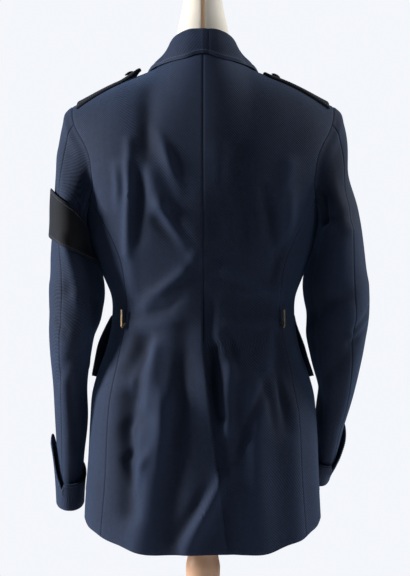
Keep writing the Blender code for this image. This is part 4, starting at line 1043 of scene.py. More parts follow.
# a much darker copy of the brass, for the strap buttons
darkBrass = brassFinish("darkBrass", (0.030, 0.028, 0.026), (0.075, 0.068, 0.056), (0.12, 0.11, 0.09))
cotton = cottonFinish()
wood = woodFinish()
print("camera, light and finishes made")


# Grids of points, the walls made from them, and the stitches on them

cloth = {
    "wall": 0.0018,
    "step": 0.0036,
    "edgeSteps": (0.0009, 0.0022, 0.0042),
    "seamDip": 0.0007,
    "seamReach": 0.0010,
    # the reach of the lighter edges: wear with a painted highlight
    "wearAndHighlightReach": 0.0030,
    "ridgePlace": 0.0042,
    "ridgeReach": 0.0018,
    "turnReach": 0.0014,
    "flatReach": 0.0013,
    "flatDip": 0.42,
}
stitch = {
    "length": 0.0026,
    "pitch": 0.0036,
    "radius": 0.00042,
    "sides": 6,
    "shares": np.array([-1.0, -0.72, 0.0, 0.72, 1.0]),
    "swell": np.array([0.15, 0.75, 1.0, 0.75, 0.15]),
    "rise": 0.00008,
}
dressed = []


def spread(length, step=None):
    # shares of a length, closer together at both of its ends
    step = step or cloth["step"]
    near = np.array([0.0, *cloth["edgeSteps"]])
    count = max(2, int(round((length - 2 * near[-1]) / step)) + 1)
    middle = np.linspace(near[-1], length - near[-1], count)
    return np.concatenate([near[:-1], middle, (length - near[:-1])[::-1]]) / length


def travelled(points, axis):
    # distance gone along a grid's rows or columns
    steps = np.linalg.norm(np.diff(points, axis=axis), axis=-1)
    start = np.zeros_like(np.take(steps, [0], axis=axis))
    return np.cumsum(np.concatenate([start, steps], axis=axis), axis=axis)


def meshPiece(name, points, faces, finish, uv=None, values=None, crease=38):
    mesh = bpy.data.meshes.new(name)
    mesh.from_pydata(points.tolist(), [], faces)
    work = bmesh.new()
    work.from_mesh(mesh)
    bmesh.ops.recalc_face_normals(work, faces=work.faces)
    if work.calc_volume(signed=True) < 0:
        bmesh.ops.reverse_faces(work, faces=work.faces)
    work.to_mesh(mesh)
    work.free()
    if uv is not None:
        corners = np.empty(len(mesh.loops), dtype=np.int32)
        mesh.loops.foreach_get("vertex_index", corners)
        layer = mesh.uv_layers.new(name="UVMap")
        layer.data.foreach_set("uv", uv[corners].astype(np.float32).ravel())
    for key, numbers in (values or {}).items():
        layer = mesh.attributes.new(key, "FLOAT", "POINT")
        layer.data.foreach_set("value", numbers.astype(np.float32).ravel())
    mesh.shade_smooth()
    mesh.set_sharp_from_angle(angle=math.radians(crease))
    mesh.materials.append(finish)
    piece = addObject(name, mesh)
    dressed.append(piece)
    return piece


def gridFaces(rows, columns, start, closed):
    low = np.arange(rows - 1)[:, None] * columns + start
    column = np.arange(columns if closed else columns - 1)[None, :]
    after = (column + 1) % columns
    corners = np.stack([low + column, low + after, low + columns + after, low + columns + column], axis=-1)
    return [tuple(face) for face in corners.reshape(-1, 4).tolist()]


def tubeFaces(rows, columns, start=0):
    # a closed tube with a cap at both ends
    first = list(range(start, start + columns))
    last = [corner + (rows - 1) * columns for corner in first]
    return gridFaces(rows, columns, start, True) + [tuple(first), tuple(last[::-1])]


def rimFaces(line, count, turned):
    # the faces that join one edge of the outer grid to the inner grid
    line = line.tolist()
    faces = [(a, a + count, b + count, b) for a, b in zip(line[:-1], line[1:])]
    return [face[::-1] for face in faces] if turned else faces


def wallPiece(name, outer, inner, finish, closed=False, crease=38, hand=-1, **values):
    # a closed wall between two grids, with its cloth laid out flat in metres as UV
    rows, columns = outer.shape[:2]
    count = rows * columns
    faces = gridFaces(rows, columns, 0, closed)
    faces += [face[::-1] for face in gridFaces(rows, columns, count, closed)]
    corners = np.arange(count).reshape(rows, columns)
    around = np.append(corners, corners[:, :1], axis=1) if closed else corners
    faces += rimFaces(around[0], count, False) + rimFaces(around[-1], count, True)
    if not closed:
        faces += rimFaces(corners[:, 0], count, True) + rimFaces(corners[:, -1], count, False)
    uv = np.stack([hand * travelled(outer, 1), travelled(outer, 0)], axis=-1).reshape(-1, 2)
    blank = np.zeros((rows, columns))
    shown = {key: np.stack([values.get(key, blank), blank]) for key in ("relief", "edge", "shade")}
    points = np.concatenate([outer.reshape(-1, 3), inner.reshape(-1, 3)])
    return meshPiece(name, points, faces, finish, np.concatenate([uv, uv]), shown, crease)


def edgeDistance(points, closed=False):
    # distance of each grid point to the nearest edge of its piece
    down = travelled(points, 0)
    nearest = np.minimum(down, down[-1:] - down)
    if not closed:
        across = travelled(points, 1)
        nearest = np.minimum(nearest, np.minimum(across, across[:, -1:] - across))
    return nearest


def borderPaths(points, normals, inset, *edges):
    # lines that run a fixed way inside the edges of a grid
    paths = []
    for edge in edges:
        axis = 1 if edge in ("start", "end") else 0
        grids = [points, normals]
        if edge in ("end", "top"):
            grids = [np.flip(grid, axis) for grid in grids]
        grids.append(travelled(grids[0], axis))
        if axis == 0:
            grids = [np.swapaxes(grid, 0, 1) for grid in grids]
        line, out = [
            [[np.interp(inset, gone, values[:, i]) for i in range(3)] for values, gone in zip(grid, grids[2])]
            for grid in grids[:2]
        ]
        paths.append((np.array(line), unit(np.array(out))))
    return paths


def evenly(line, others, pitch):
    # places one pitch apart along a line, with other values carried along
    gone = travelled(line, 0)
    places = np.arange(0.5 * pitch, gone[-1], pitch)
    return [
        np.stack([np.interp(places, gone, values[:, i]) for i in range(values.shape[1])], axis=1)
        for values in (line, *others)
    ]


def stitchPiece(name, lines, finish):
    # one small thread lozenge for each stitch, half sunk in the cloth
    sides, rings = stitch["sides"], len(stitch["shares"])
    turns = 2 * math.pi * np.arange(sides) / sides
    points, faces = [], []
    for line, normals in lines:
        centres, outs, alongs = evenly(line, (normals, np.gradient(line, axis=0)), stitch["pitch"])
        alongs = unit(alongs)
        acrosses = unit(np.cross(alongs, outs))
        for centre, out, along, across in zip(centres, outs, alongs, acrosses):
            faces += tubeFaces(rings, sides, len(points) * rings * sides)
            ring = np.cos(turns)[:, None] * out + 0.8 * np.sin(turns)[:, None] * across
            length = 0.5 * stitch["length"] * stitch["shares"][:, None, None]
            radius = stitch["radius"] * stitch["swell"][:, None, None]
            points.append((centre + length * along + radius * ring + stitch["rise"] * out).reshape(-1, 3))
    return meshPiece(name, np.concatenate(points), faces, finish, crease=180)


def thickWall(middle, normals, thin, outerDip, innerDip, groove=0.0):
    # the two faces of a wall round a middle grid, thinner where thin is 1
    outer = middle + (0.5 * clothThickness - outerDip * thin - groove)[..., None] * normals
    return outer, middle - (0.5 * clothThickness - innerDip * thin)[..., None] * normals


def clothWall(name, points, normals, hand, ridge, relief, slit=0.0):
    # a panel's wall, drawn in along its seams with painted shade in them, and a faint lighter line beside
    # them, wear with a painted highlight where a seam's ridge would catch light
    apart = edgeDistance(points)
    # the seam's groove, which is also painted with shade
    seam = bell(apart, cloth["seamReach"])
    outer = points - (cloth["seamDip"] * seam)[..., None] * normals
    inner = points - cloth["wall"] * normals
    # the ridge beside each seam: wear with a painted highlight
    edge = ridge * bell(apart - cloth["ridgePlace"], cloth["ridgeReach"])
    wallPiece(name, outer, inner, navy, hand=hand, relief=relief, edge=edge, shade=seam + slit)


def flatPiece(name, place, thickness, us, vs, finish, inset, edges, dip=None, reach=cloth["flatReach"]):
    # a piece that lies on a panel, from place(u, v, lift), with stitches inside some edges
    u, v = np.meshgrid(us, vs)
    low, high = place(u, v, 0.0), place(u, v, thickness)
    normals = unit(high - low)
    apart = edgeDistance(high)
    dip = cloth["flatDip"] * thickness if dip is None else dip
    outer = high - (dip * bell(apart, reach))[..., None] * normals
    # its edges lighter, wear with a painted highlight
    wallPiece(name, outer, low, finish, edge=bell(apart, cloth["wearAndHighlightReach"]), crease=55)
    return borderPaths(outer, normals, inset, *edges)


# The body of the jacket: backs, side panels and fronts

bodyCut = {
    "columns": ("part", "surface", "width", "length"),
    "rows": (
        ("back", backSurface, 0.200, 0.735),
        ("side", sideSurface, 0.115, 0.480),
        ("front", frontSurface, 0.205, 0.735),
    ),
    "ridge": 0.22,
    "fullRelief": 0.005,
}
# the belt slits' painted shadow: its places, width and strength
beltSlit = {
    "places": {1: (0.1141, 0.6440, 0.6700), -1: (-0.1125, 0.6470, 0.6715)},
    "halfWidth": 0.0024,
    "shade": 2.4,
}


def slitShade(points, side):
    # painted shadow in the opening beside each belt hook
    place, low, high = beltSlit["places"][side]
    across = bell(points[..., 0] - place, beltSlit["halfWidth"], 4)
    along = ease(points[..., 2] - low, -0.002, 0.001) * ease(high - points[..., 2], -0.002, 0.001)
    return beltSlit["shade"] * across * along * (points[..., 1] > 0)


def addBody():
    for side in (1, -1):
        for row in bodyCut["rows"]:
            cut = tableRow(bodyCut["columns"], row)
            surface = cut["surface"](side)
            u, v = np.meshgrid(spread(cut["width"]), spread(cut["length"]))
            points = surface(u, v)
            normals = surfaceNormals(surface, u, v, side)
            behind, before = bothShifts(points[..., 0], points[..., 2])
            # the folds' height, for painted shade in the troughs and painted light on the ridges
            relief = np.clip(np.where(points[..., 1] > 0, behind, before) / bodyCut["fullRelief"], -1, 1)
            name = f"cloth_{cut['part']}_{sideName(side)}"
            clothWall(name, points, normals, -side, bodyCut["ridge"], relief, slitShade(points, side))


addBody()
print("backs, side panels and fronts cut and hung")


# The sleeves

sleeve = {
    "hindSeam": 0.36 * 3 / 7,
    "foreSeam": 0.64,
    "gap": 0.0003,
    "width": 0.155,
    "round": 0.30,
    "capRows": 30,
    "headFullness": 0.0022,
    "headPlace": 0.016,
    "headReach": 0.009,
    "plainTo": 0.012,
    "ridge": 0.3,
    "fullRelief": 0.004,
}


def sleeveGrid(arm, side, folds, turns):
    # outer points and normals, rows from the armhole seam down to the cuff
    columns = len(turns)
    seam, seamNormals, outward = armholeLoop(side, turns)
    heights = [row[0] for row in arm["rows"]]
    start = seam + seamGap * outward
    top = armPoint(arm, side, turns, np.full(columns, heights[-1]))
    leave = armPoint(arm, side, turns, np.full(columns, heights[-1] - 0.01)) - top
    apart = np.linalg.norm(top - start, axis=1, keepdims=True)
    rows = [
        hermite(share, start, capLeave * apart * outward, top, capArrive * apart * unit(leave))
        for share in np.linspace(0, 1, sleeve["capRows"]) ** 1.25
    ]
    armRows = int((heights[-1] - heights[0]) / cloth["step"])
    for height in np.linspace(heights[-1], heights[0], armRows)[1:]:
        rows.append(armPoint(arm, side, turns, np.full(columns, height)))
    outer = np.array(rows)
    normals = unit(np.cross(np.gradient(outer, axis=0), np.gradient(outer, axis=1)))
    halfway = 0.5 * (heights[0] + heights[-1])
    ring = armPoint(arm, side, np.arange(24) / 24, np.full(24, halfway))
    normals = outwardNormals(normals, outer, np.argmin(np.abs(outer[:, 0, 2] - halfway)), ring.mean(axis=0))
    normals[0] = seamNormals
    shift = np.zeros(outer.shape[:2])
    for row in folds:
        fold = tableRow(sleeveFoldColumns, row)
        beside = ((turns[None, :] - fold["fromTurn"] + 0.5) % 1.0 - 0.5) * sleeve["round"]
        end = ((fold["toTurn"] - fold["fromTurn"]) * sleeve["round"], fold["toZ"])
        distance = besideLine(beside, outer[..., 2], (0.0, fold["fromZ"]), end)[1]
        shift += fold["rise"] * bell(distance, fold["reach"])
    down = travelled(outer, 0)
    shift *= ease(down, 0.0, sleeve["plainTo"])
    head = sleeve["headFullness"] * bell(down - sleeve["headPlace"], sleeve["headReach"])
    upper = ease(0.5 + 0.5 * np.cos(2 * math.pi * turns), 0.45, 0.8)[None, :]
    return outer + (shift + head * upper)[..., None] * normals, normals, shift


def addSleeves():
    made = {}
    for side, arm, folds in ((1, leftArm, leftSleeveFolds), (-1, rightArm, rightSleeveFolds)):
        spans = {
            "top": (sleeve["foreSeam"] - 1, sleeve["hindSeam"]),
            "under": (sleeve["hindSeam"], sleeve["foreSeam"]),
        }
        for part, (first, last) in spans.items():
            name = f"sleeve_{part}_{sideName(side)}"
            turns = first + sleeve["gap"] + (last - first - 2 * sleeve["gap"]) * spread(sleeve["width"])
            outer, normals, shift = sleeveGrid(arm, side, folds, turns)
            # the folds' height, for painted shade in the troughs and painted light on the ridges
            relief = np.clip(shift / sleeve["fullRelief"], -1, 1)
            clothWall("cloth_" + name, outer, normals, side, sleeve["ridge"], relief)
            made[name] = (outer, normals, turns)
    return made


sleeves = addSleeves()
print("sleeves set in")


# The collar, with its stand, its fold and the fall that lies over the neck seam

collarLook = {
    "sections": 181,
    "rows": 84,
    "standClearance": 0.0022,
    "fallClearance": 0.0034,
    "round": 0.0022,
    "seamX": -0.0075,
    "seamReach": 0.0012,
    "seamDepth": 0.0007,
    "turnedPlace": 0.0040,
    "turnedReach": 0.0015,
    "turnedFrom": 0.030,
    "turnedRise": 0.0008,
    "foldReach": 0.0016,
    # how much lighter the fold (wear with a painted highlight) and the turned line (a painted highlight) are
    "foldWearAndHighlight": 0.55,
    "turnedHighlight": 0.90,
    "outerDip": 0.0007,
    "innerDip": 0.0004,
    "stitchInset": 0.0048,
}


def roundedLine(line, count):
    # a smooth curve through the rows of points, with the same ends
    rows = len(line)
    places = np.linspace(0, rows - 1, count)
    low = np.clip(places.astype(int), 0, rows - 2)
    t = (places - low)[:, None, None]
    start, end = line[low], line[low + 1]
    before = line[np.clip(low - 1, 0, rows - 1)]
    after = line[np.clip(low + 2, 0, rows - 1)]
    return hermite(t, start, 0.5 * (end - before), end, 0.5 * (after - start))


def addCollar():
    places = np.linspace(-1, 1, collarLook["sections"])
    read = {key: readTable(collar, key, np.abs(places)) for key in collar["columns"][1:]}
    ends = []
    for part in ("stand", "edge"):
        x, y = read[part + "X"], read[part + "Y"]
        clearance = collarLook["standClearance" if part == "stand" else "fallClearance"]
        ends.append(np.stack([x, y, shoulderHeight(x, y) + clearance], axis=-1))
    stand, edge = ends
    fold = np.stack([read[key] for key in ("foldX", "foldY", "foldZ")], axis=-1)
    out = unit((edge - stand) * np.array([1.0, 1.0, 0.0]))
    up = unit(np.cross(np.cross(out, fold - 0.5 * (stand + edge)), out))
    bend = collarLook["round"]
    foldIn, foldOut = fold - bend * out, fold + bend * out
    line = np.array([
        stand, 0.5 * (stand + foldIn), foldIn - bend * up, fold, foldOut - bend * up,
        0.5 * (foldOut + edge) + bend * out, edge,
    ])
    line = roundedLine(line, collarLook["rows"])
    tangents = unit(np.gradient(line, axis=0))
    across = unit(np.cross(unit(np.cross(out, up))[None], tangents))
    normals = -across * np.sign(np.sum(across[0] * out, axis=-1))[None, :, None]
    hands = np.where(places < 0, -1.0, 1.0)
    for grid in (line, normals):
        grid[..., 0] *= hands
    apart = edgeDistance(line)
    # the turned line inside the fall's edge, raised a little and lighter as a painted highlight
    turned = bell(apart - collarLook["turnedPlace"], collarLook["turnedReach"])
    turned = turned * (travelled(line, 0) > collarLook["turnedFrom"])
    seam = bell(line[..., 0] - collarLook["seamX"], collarLook["seamReach"])
    groove = collarLook["seamDepth"] * seam - collarLook["turnedRise"] * turned
    thin = bell(apart, cloth["turnReach"])
    outer, inner = thickWall(line, normals, thin, collarLook["outerDip"], collarLook["innerDip"], groove)
    # the fold and the edges lighter, wear with a painted highlight
    ridge = collarLook["foldWearAndHighlight"] * bell(line[..., 2] - fold[:, 2], collarLook["foldReach"])
    wearAndHighlightAmount = np.maximum.reduce([bell(apart, cloth["wearAndHighlightReach"]), ridge, collarLook["turnedHighlight"] * turned])
    wallPiece("cloth_collar", outer, inner, navy, edge=wearAndHighlightAmount, crease=60)
    fall = collarLook["rows"] * 2 // 3
    inset = collarLook["stitchInset"]
    lines = borderPaths(outer, normals, inset, "top")
    return lines + borderPaths(outer[fall:], normals[fall:], inset, "start", "end")


# The lapels

lapelLook = {
    "size": (0.060, 0.185),
    "setBack": 0.0012,
    "standOff": (0.0010, 0.0026),
    "top": 0.985,
    "slant": 0.030,
    "hidden": 0.15,
    "stitchInset": 0.0050,
}
lapel = {
    "columns": ("rise", "width"),
    "rows": (
        (0.00, 0.004),
        (0.15, 0.022),
        (0.40, 0.045),
        (0.70, 0.064),
        (0.90, 0.074),
        (1.00, 0.078),
    ),
}


def addLapels():
    lines = []
    for side in (1, -1):

        def place(u, rise, more):
            height = lapelLook["top"] * rise + lapelBreak * (1 - rise) - lapelLook["slant"] * u * rise**3
            start = frontEdge(height) + lapelLook["setBack"]
            end = start + readTable(lapel, "width", rise)
            if side < 0:
                start = np.maximum(start, lapelLook["setBack"] + seamGap - frontEdge(height))
            x = start + u * (end - start)
            low, high = lapelLook["standOff"]
            lift = frontLift(x, height, side) + low + (high - low) * u * rise
            return bodyPoint(math.pi - angleAt(x, height), height, side, lift + more)

        foot = 0.0 if side > 0 else lapelLook["hidden"]
        width, length = lapelLook["size"]
        rises = foot + (1 - foot) * spread(length * (1 - foot))
        lines += flatPiece(
            "cloth_lapel_" + sideName(side), place, clothThickness, spread(width), rises, navy,
            lapelLook["stitchInset"], ("end", "top"),
        )
    return lines


# The shoulder straps

strapLook = {
    "size": (0.046, 0.100),
    "outer": 0.187,
    "inner": 0.0895,
    "halfWidth": (0.0250, 0.0205),
    "thickness": 0.0030,
    "clearance": 0.0008,
    "curl": 0.0004,
    "lift": 0.0065,
    "liftFrom": 0.62,
    "point": 0.55,
    "step": 0.002,
    "stitchInset": 0.0030,
}


def addStraps():
    lines = []
    slope = unit(np.array([shoulderSlope, 0.0, 1.0]))
    us, vs = (spread(length, strapLook["step"]) for length in strapLook["size"])
    for side in (1, -1):

        def place(u, v, more):
            across = 2 * u - 1
            wide, narrow = strapLook["halfWidth"]
            half = (wide + (narrow - wide) * v) * (1 - strapLook["point"] * ease(v, 0.90, 1.0))
            x = strapLook["outer"] + (strapLook["inner"] - strapLook["outer"]) * v
            y = across * half
            lift = strapLook["clearance"] + strapLook["curl"] * across**2 + more
            if side > 0:
                lift = lift + strapLook["lift"] * ease(v, strapLook["liftFrom"], 1.0)
            return mirrored(np.stack([x, y, shoulderHeight(x, y)], axis=-1) + lift[..., None] * slope, side)

        lines += flatPiece(
            "strap_" + sideName(side), place, strapLook["thickness"], us, vs, black,
            strapLook["stitchInset"], ("start", "end", "top"),
        )
    return lines


# The turned-back cuffs and the arm band

cuffLook = {
    "depth": 0.047,
    "lobes": {"left": 0.049, "right": 0.019},
    "lobeReach": 0.11,
    "notchTurn": 0.175,
    "notchReach": 0.016,
    "notch": 0.011,
    "standOff": 0.0013,
    "flare": 0.0050,
    "wave": 0.0004,
    "drop": 0.0006,
    "roll": (
        (-0.0032, 0.0080), (-0.0032, 0.0040), (-0.0031, 0.0012), (-0.0024, -0.0008),
        (-0.0008, -0.0018), (0.0010, -0.0019), (0.0020, -0.0014),
    ),
    "columns": 84,
    "height": 0.060,
    "step": 0.003,
    "outerDip": 0.0008,
    "innerDip": 0.0003,
    # how much lighter the roll's fold is, wear with a painted highlight
    "foldWearAndHighlight": 0.70,
    "foldPlace": -0.0018,
    "foldReach": 0.0016,
    "stitchInset": 0.0042,
}
band = {
    "width": 0.070,
    "step": 0.0028,
    "outerEdges": (0.852, 0.779),
    "innerEdges": (0.792, 0.735),
    "clearance": 0.0009,
    "standOff": 0.0032,
    "thickness": 0.0018,
    "wave": 0.0005,
    "edgeDip": 0.0007,
    "stitchInset": 0.0040,
}


def cuffTop(turn, side):
    away = np.minimum(np.abs(turn), np.abs(turn - 1))
    lobe = cuffLook["lobes"][sideName(side)] * bell(away, cuffLook["lobeReach"], 4)
    notch = cuffLook["notch"] * bell(turn - cuffLook["notchTurn"], cuffLook["notchReach"])
    return cuffLook["depth"] + lobe - notch


def addCuffs():
    # the roll under the sleeve's end, then the turned-back cuff up to its open top edge
    lines = []
    plain = np.linspace(0, 1, cuffLook["columns"], endpoint=False)
    near = cuffLook["notchTurn"] + cuffLook["notchReach"] * np.linspace(-2.6, 2.6, 19)
    turns = np.sort(np.concatenate([plain[np.abs(plain - cuffLook["notchTurn"]) > 0.045], near]))
    rolled = np.array(cuffLook["roll"])[:, :, None] + np.zeros((1, 1, len(turns)))
    for side, arm in ((1, leftArm), (-1, rightArm)):
        foot = arm["rows"][0][0]
        turn, share = np.meshgrid(turns, spread(cuffLook["height"], cuffLook["step"]))
        height = foot - cuffLook["drop"] + share * cuffTop(turn, side)
        flare = cuffLook["flare"] * share**2 * (0.35 + 0.65 * np.cos(math.pi * turn) ** 2)
        wave = cuffLook["wave"] * np.sin(6 * math.pi * turn + 1.0) * share
        proud = cuffLook["standOff"] + flare + wave + 0.5 * clothThickness
        turn = np.concatenate([np.tile(turns, (len(rolled), 1)), turn])
        height = np.concatenate([foot + rolled[:, 1], height])
        middle = armPoint(arm, side, turn, height, np.concatenate([rolled[:, 0], proud]))
        around = np.roll(middle, -1, axis=1) - np.roll(middle, 1, axis=1)
        normals = outwardNormals(unit(np.cross(np.gradient(middle, axis=0), around)), middle, len(rolled) + 4)
        down = travelled(middle, 0)
        thin = bell(down[-1:] - down, cloth["turnReach"])
        outer, inner = thickWall(middle, normals, thin, cuffLook["outerDip"], cuffLook["innerDip"])
        # the roll's fold lighter, wear with a painted highlight
        folded = bell(height - foot - cuffLook["foldPlace"], cuffLook["foldReach"])
        wearAndHighlightAmount = np.maximum(thin, cuffLook["foldWearAndHighlight"] * folded)
        wallPiece("cloth_cuff_" + sideName(side), outer, inner, navy, closed=True, edge=wearAndHighlightAmount, crease=55)
        lines += borderPaths(outer, normals, cuffLook["stitchInset"], "top")
    return lines


def addArmband():
    # read from the left sleeve's own grid, without the columns beside its seams
    parts = [sleeves[f"sleeve_{part}_left"] for part in ("top", "under")]
    points, normals = (np.concatenate([part[i][:, 1:-1] for part in parts], axis=1) for i in (0, 1))
    turns = np.concatenate([part[2][1:-1] for part in parts])
    outside = 0.5 + 0.5 * np.cos(2 * math.pi * turns)
    high, low = (near + (far - near) * outside for near, far in zip(band["innerEdges"], band["outerEdges"]))
    inner, outer = [], []
    for share in spread(band["width"], band["step"]):
        point, normal = np.zeros((len(turns), 3)), np.zeros((len(turns), 3))
        for column, height in enumerate(high + share * (low - high)):
            for axis in range(3):
                path = points[::-1, column, 2]
                point[column, axis] = np.interp(height, path, points[::-1, column, axis])
                normal[column, axis] = np.interp(height, path, normals[::-1, column, axis])
        ripple = band["wave"] * np.sin(2 * math.pi * (3 * turns + 0.8 * share)) * math.sin(math.pi * share)
        proud = (band["clearance"] + band["standOff"] * outside * (1.25 - 0.5 * share) + ripple)[:, None]
        inner.append(point + proud * unit(normal))
        outer.append(point + (proud + band["thickness"]) * unit(normal))
    inner, outer = np.array(inner), np.array(outer)
    normals = unit(outer - inner)
    apart = edgeDistance(outer, closed=True)
    outer = outer - (band["edgeDip"] * bell(apart, cloth["turnReach"]))[..., None] * normals
    # the band's edges lighter, wear with a painted highlight
    wallPiece("band_left", outer, inner, black, closed=True, edge=bell(apart, cloth["wearAndHighlightReach"]), crease=55)
    return borderPaths(outer, normals, band["stitchInset"], "top", "bottom")


# The hip pockets and their flaps

pocket = {
    "size": (0.130, 0.208),
    "back": math.radians(100.0),
    "frontX": 0.050,
    "top": 0.600,
    "foot": 0.392,
    "clearance": 0.0014,
    "proud": 0.0060,
    "corner": 0.0030,
    "sag": 0.0006,
    "edgeDip": 0.0016,
    "edgeReach": 0.0020,
    "stitchInset": 0.0040,
}
flap = {
    "size": (0.138, 0.092),
    "top": 0.662,
    "foot": 0.570,
    "point": 0.010,
    "overhang": 0.03,
    "clearance": 0.0016,
    "proud": 0.0072,
    "stand": {"left": 0.0080, "right": 0.0010},
    "stitchInset": 0.0045,
}


def patchPoint(share, height, side, lift, drop=0.0):
    # a place on the hip, its share of the way from the side to the pocket's front edge
    end = math.pi - angleAt(np.full_like(height, pocket["frontX"]), height)
    angle = pocket["back"] + share * (end - pocket["back"])
    return bodyPoint(angle, height - drop, side, frontLift(outAt(angle, height), height, side) + lift)


def addPockets():
    lines = []
    edges = ("start", "end", "bottom")
    for side in (1, -1):

        def bag(u, v, more):
            height = pocket["foot"] + (pocket["top"] - pocket["foot"]) * v
            if more == 0:
                return patchPoint(u, height, side, pocket["clearance"])
            rim = np.minimum(np.minimum(u, 1 - u) * 8, v * 6)
            lift = pocket["proud"] * (0.55 + 0.45 * ease(rim, 0, 1))
            lift += pocket["corner"] * (1 - u) ** 3 * (1 - v) ** 2
            lift += pocket["sag"] * np.sin(9 * u + 2.0) * np.sin(math.pi * v)
            return patchPoint(u, height, side, lift)

        def lid(u, v, more):
            share = (1 + 2 * flap["overhang"]) * u - flap["overhang"]
            inside = np.clip(share, 0, 1)
            drop = 1 - v
            stand = flap["stand"][sideName(side)] * (1 - inside) ** 3 * np.sin(math.pi * drop**0.7)
            lift = flap["clearance"] + flap["proud"] * ease(drop, 0.0, 0.55) + stand + more
            height = flap["foot"] + (flap["top"] - flap["foot"]) * v
            return patchPoint(share, height, side, lift, flap["point"] * (1 - np.abs(2 * inside - 1)) * drop)

        lines += flatPiece(
            "cloth_pocket_" + sideName(side), bag, 1.0, *map(spread, pocket["size"]), navy,
            pocket["stitchInset"], edges, pocket["edgeDip"], pocket["edgeReach"],
        )
        lines += flatPiece(
            "cloth_flap_" + sideName(side), lid, clothThickness, *map(spread, flap["size"]), navy,
            flap["stitchInset"], edges,
        )
    return lines


stitching = {
    "stitches_collar": addCollar(),
    "stitches_lapels": addLapels(),
    "stitches_straps": addStraps(),
    "stitches_cuffs": addCuffs(),
    "stitches_band": addArmband(),
    "stitches_pockets": addPockets(),
}
print("collar, lapels, straps, cuffs, arm band and pockets laid on")
for stitchName, stitchLines in stitching.items():
    stitchPiece(stitchName, stitchLines, thread)
print("topstitching sewn")


# Buttons, the form and the turned wood

lathe = {
    "segments": 72,
    "buttonSegments": 36,
    "step": 0.003,
    "baseStep": 0.006,
}
buttonProfile = (
    (0.00, 0.440), (0.20, 0.436), (0.40, 0.415), (0.60, 0.375), (0.76, 0.322), (0.84, 0.270),
    (0.86, 0.225), (0.90, 0.215), (0.97, 0.205), (1.00, 0.170), (1.00, 0.090), (0.97, 0.050),
    (0.90, 0.030), (0.70, 0.010), (0.00, 0.010),
)
dressForm = {
    "segments": 96,
    "rows": 150,
    "seamDepth": 0.0009,
    "seamReach": 0.0022,
    "threadFrom": 0.50,
    "threadPoints": 160,
}
stemProfile = (
    (0.034, 0.4546), (0.034, 0.4470), (0.0225, 0.4400), (0.0212, 0.4000),
    (0.0225, 0.3560), (0.0208, 0.3280), (0.0226, 0.3060), (0.0256, 0.2850),
    (0.0252, 0.2690), (0.0222, 0.2520), (0.0200, 0.2380),
    (0.0190, 0.2200), (0.0245, 0.2130), (0.0245, 0.2050), (0.0180, 0.1980),
    (0.0160, 0.1300), (0.0175, 0.0650), (0.0240, 0.0520), (0.0270, 0.0400),
    (0.0270, 0.0245),
)
baseProfile = (
    (0.0300, 0.0242), (0.1000, 0.0232), (0.1630, 0.0190), (0.1695, 0.0140),
    (baseRadius, 0.0080), (0.1685, 0.0020), (0.1650, 0.0000),
)
neckCapProfile = (
    (0.0100, 1.1830), (0.0200, 1.1800), (0.0270, 1.1740), (0.0290, 1.1690),
    (0.0285, 1.1654),
)


def turnedPiece(name, profile, finish, centre=(0, 0, 0), axis=(0, 0, 1), segments=None, crease=45):
    # a solid turned about an axis from radius and height, closed at both ends
    segments = segments or lathe["segments"]
    turns = np.arange(segments) * 2 * math.pi / segments
    up = unit(np.array(axis, dtype=float))
    across = unit(np.cross(up, (0.0, 1.0, 0.0) if abs(up[1]) < 0.9 else (1.0, 0.0, 0.0)))
    ring = np.cos(turns)[:, None] * across + np.sin(turns)[:, None] * np.cross(up, across)
    profile = [row for row in profile if row[0] > 1e-6]
    points = np.concatenate([np.array(centre) + radius * ring + height * up for radius, height in profile])
    return meshPiece(name, points, tubeFaces(len(profile), segments), finish, crease=crease)


def smoothProfile(rows, step=lathe["step"]):
    # a soft curve through a turned profile, keeping its own places
    rows = np.array(rows)
    line = [tuple(rows[0])]
    for start, end in zip(rows[:-1], rows[1:]):
        count = max(1, int(np.linalg.norm(end - start) / step))
        for t in np.arange(1, count + 1) / count:
            line.append((start[0] + (end[0] - start[0]) * ease(t, 0, 1), start[1] + (end[1] - start[1]) * t))
    return line


def addButtons():
    # each button is turned on the axis, seat and radius of its own solid
    made = []
    for name, node in frame["nodes"].items():
        if "_button" not in name:
            continue
        points = np.array([tuple(corner.co) for corner in node.data.vertices])
        centre = points.mean(axis=0)
        axis = np.linalg.svd(points - centre)[2][2]
        heights = (points - centre) @ axis
        radii = np.linalg.norm((points - centre) - heights[:, None] * axis, axis=1)
        if heights[radii > 0.98 * radii.max()].mean() > 0.5 * (heights.max() + heights.min()):
            axis, heights = -axis, -heights
        profile = [(share * radii.max(), rise * radii.max()) for share, rise in buttonProfile]
        # the strap buttons take the much darker copy of the brass
        metal = darkBrass if name.startswith("strap") else brass
        seat = centre + heights.min() * axis
        piece = turnedPiece(name + "_brass", profile, metal, seat, axis, lathe["buttonSegments"], crease=30)
        made.append((piece, name))
    return made


def formPoint(turn, height):
    wide = readTable(form, "halfWidth", height)
    x = np.linspace(shoulderTip[0], neckHalfWidth, 60)
    under = np.interp(height + formClearance, ridgeHeight(x), x)
    wide = np.where(height < formShoulder, wide, np.minimum(wide, under))
    depth = depthAt(form, np.sin(turn) >= 0, height)
    return np.stack([wide * np.cos(turn), depth * np.sin(turn), height + 0 * turn], axis=-1)


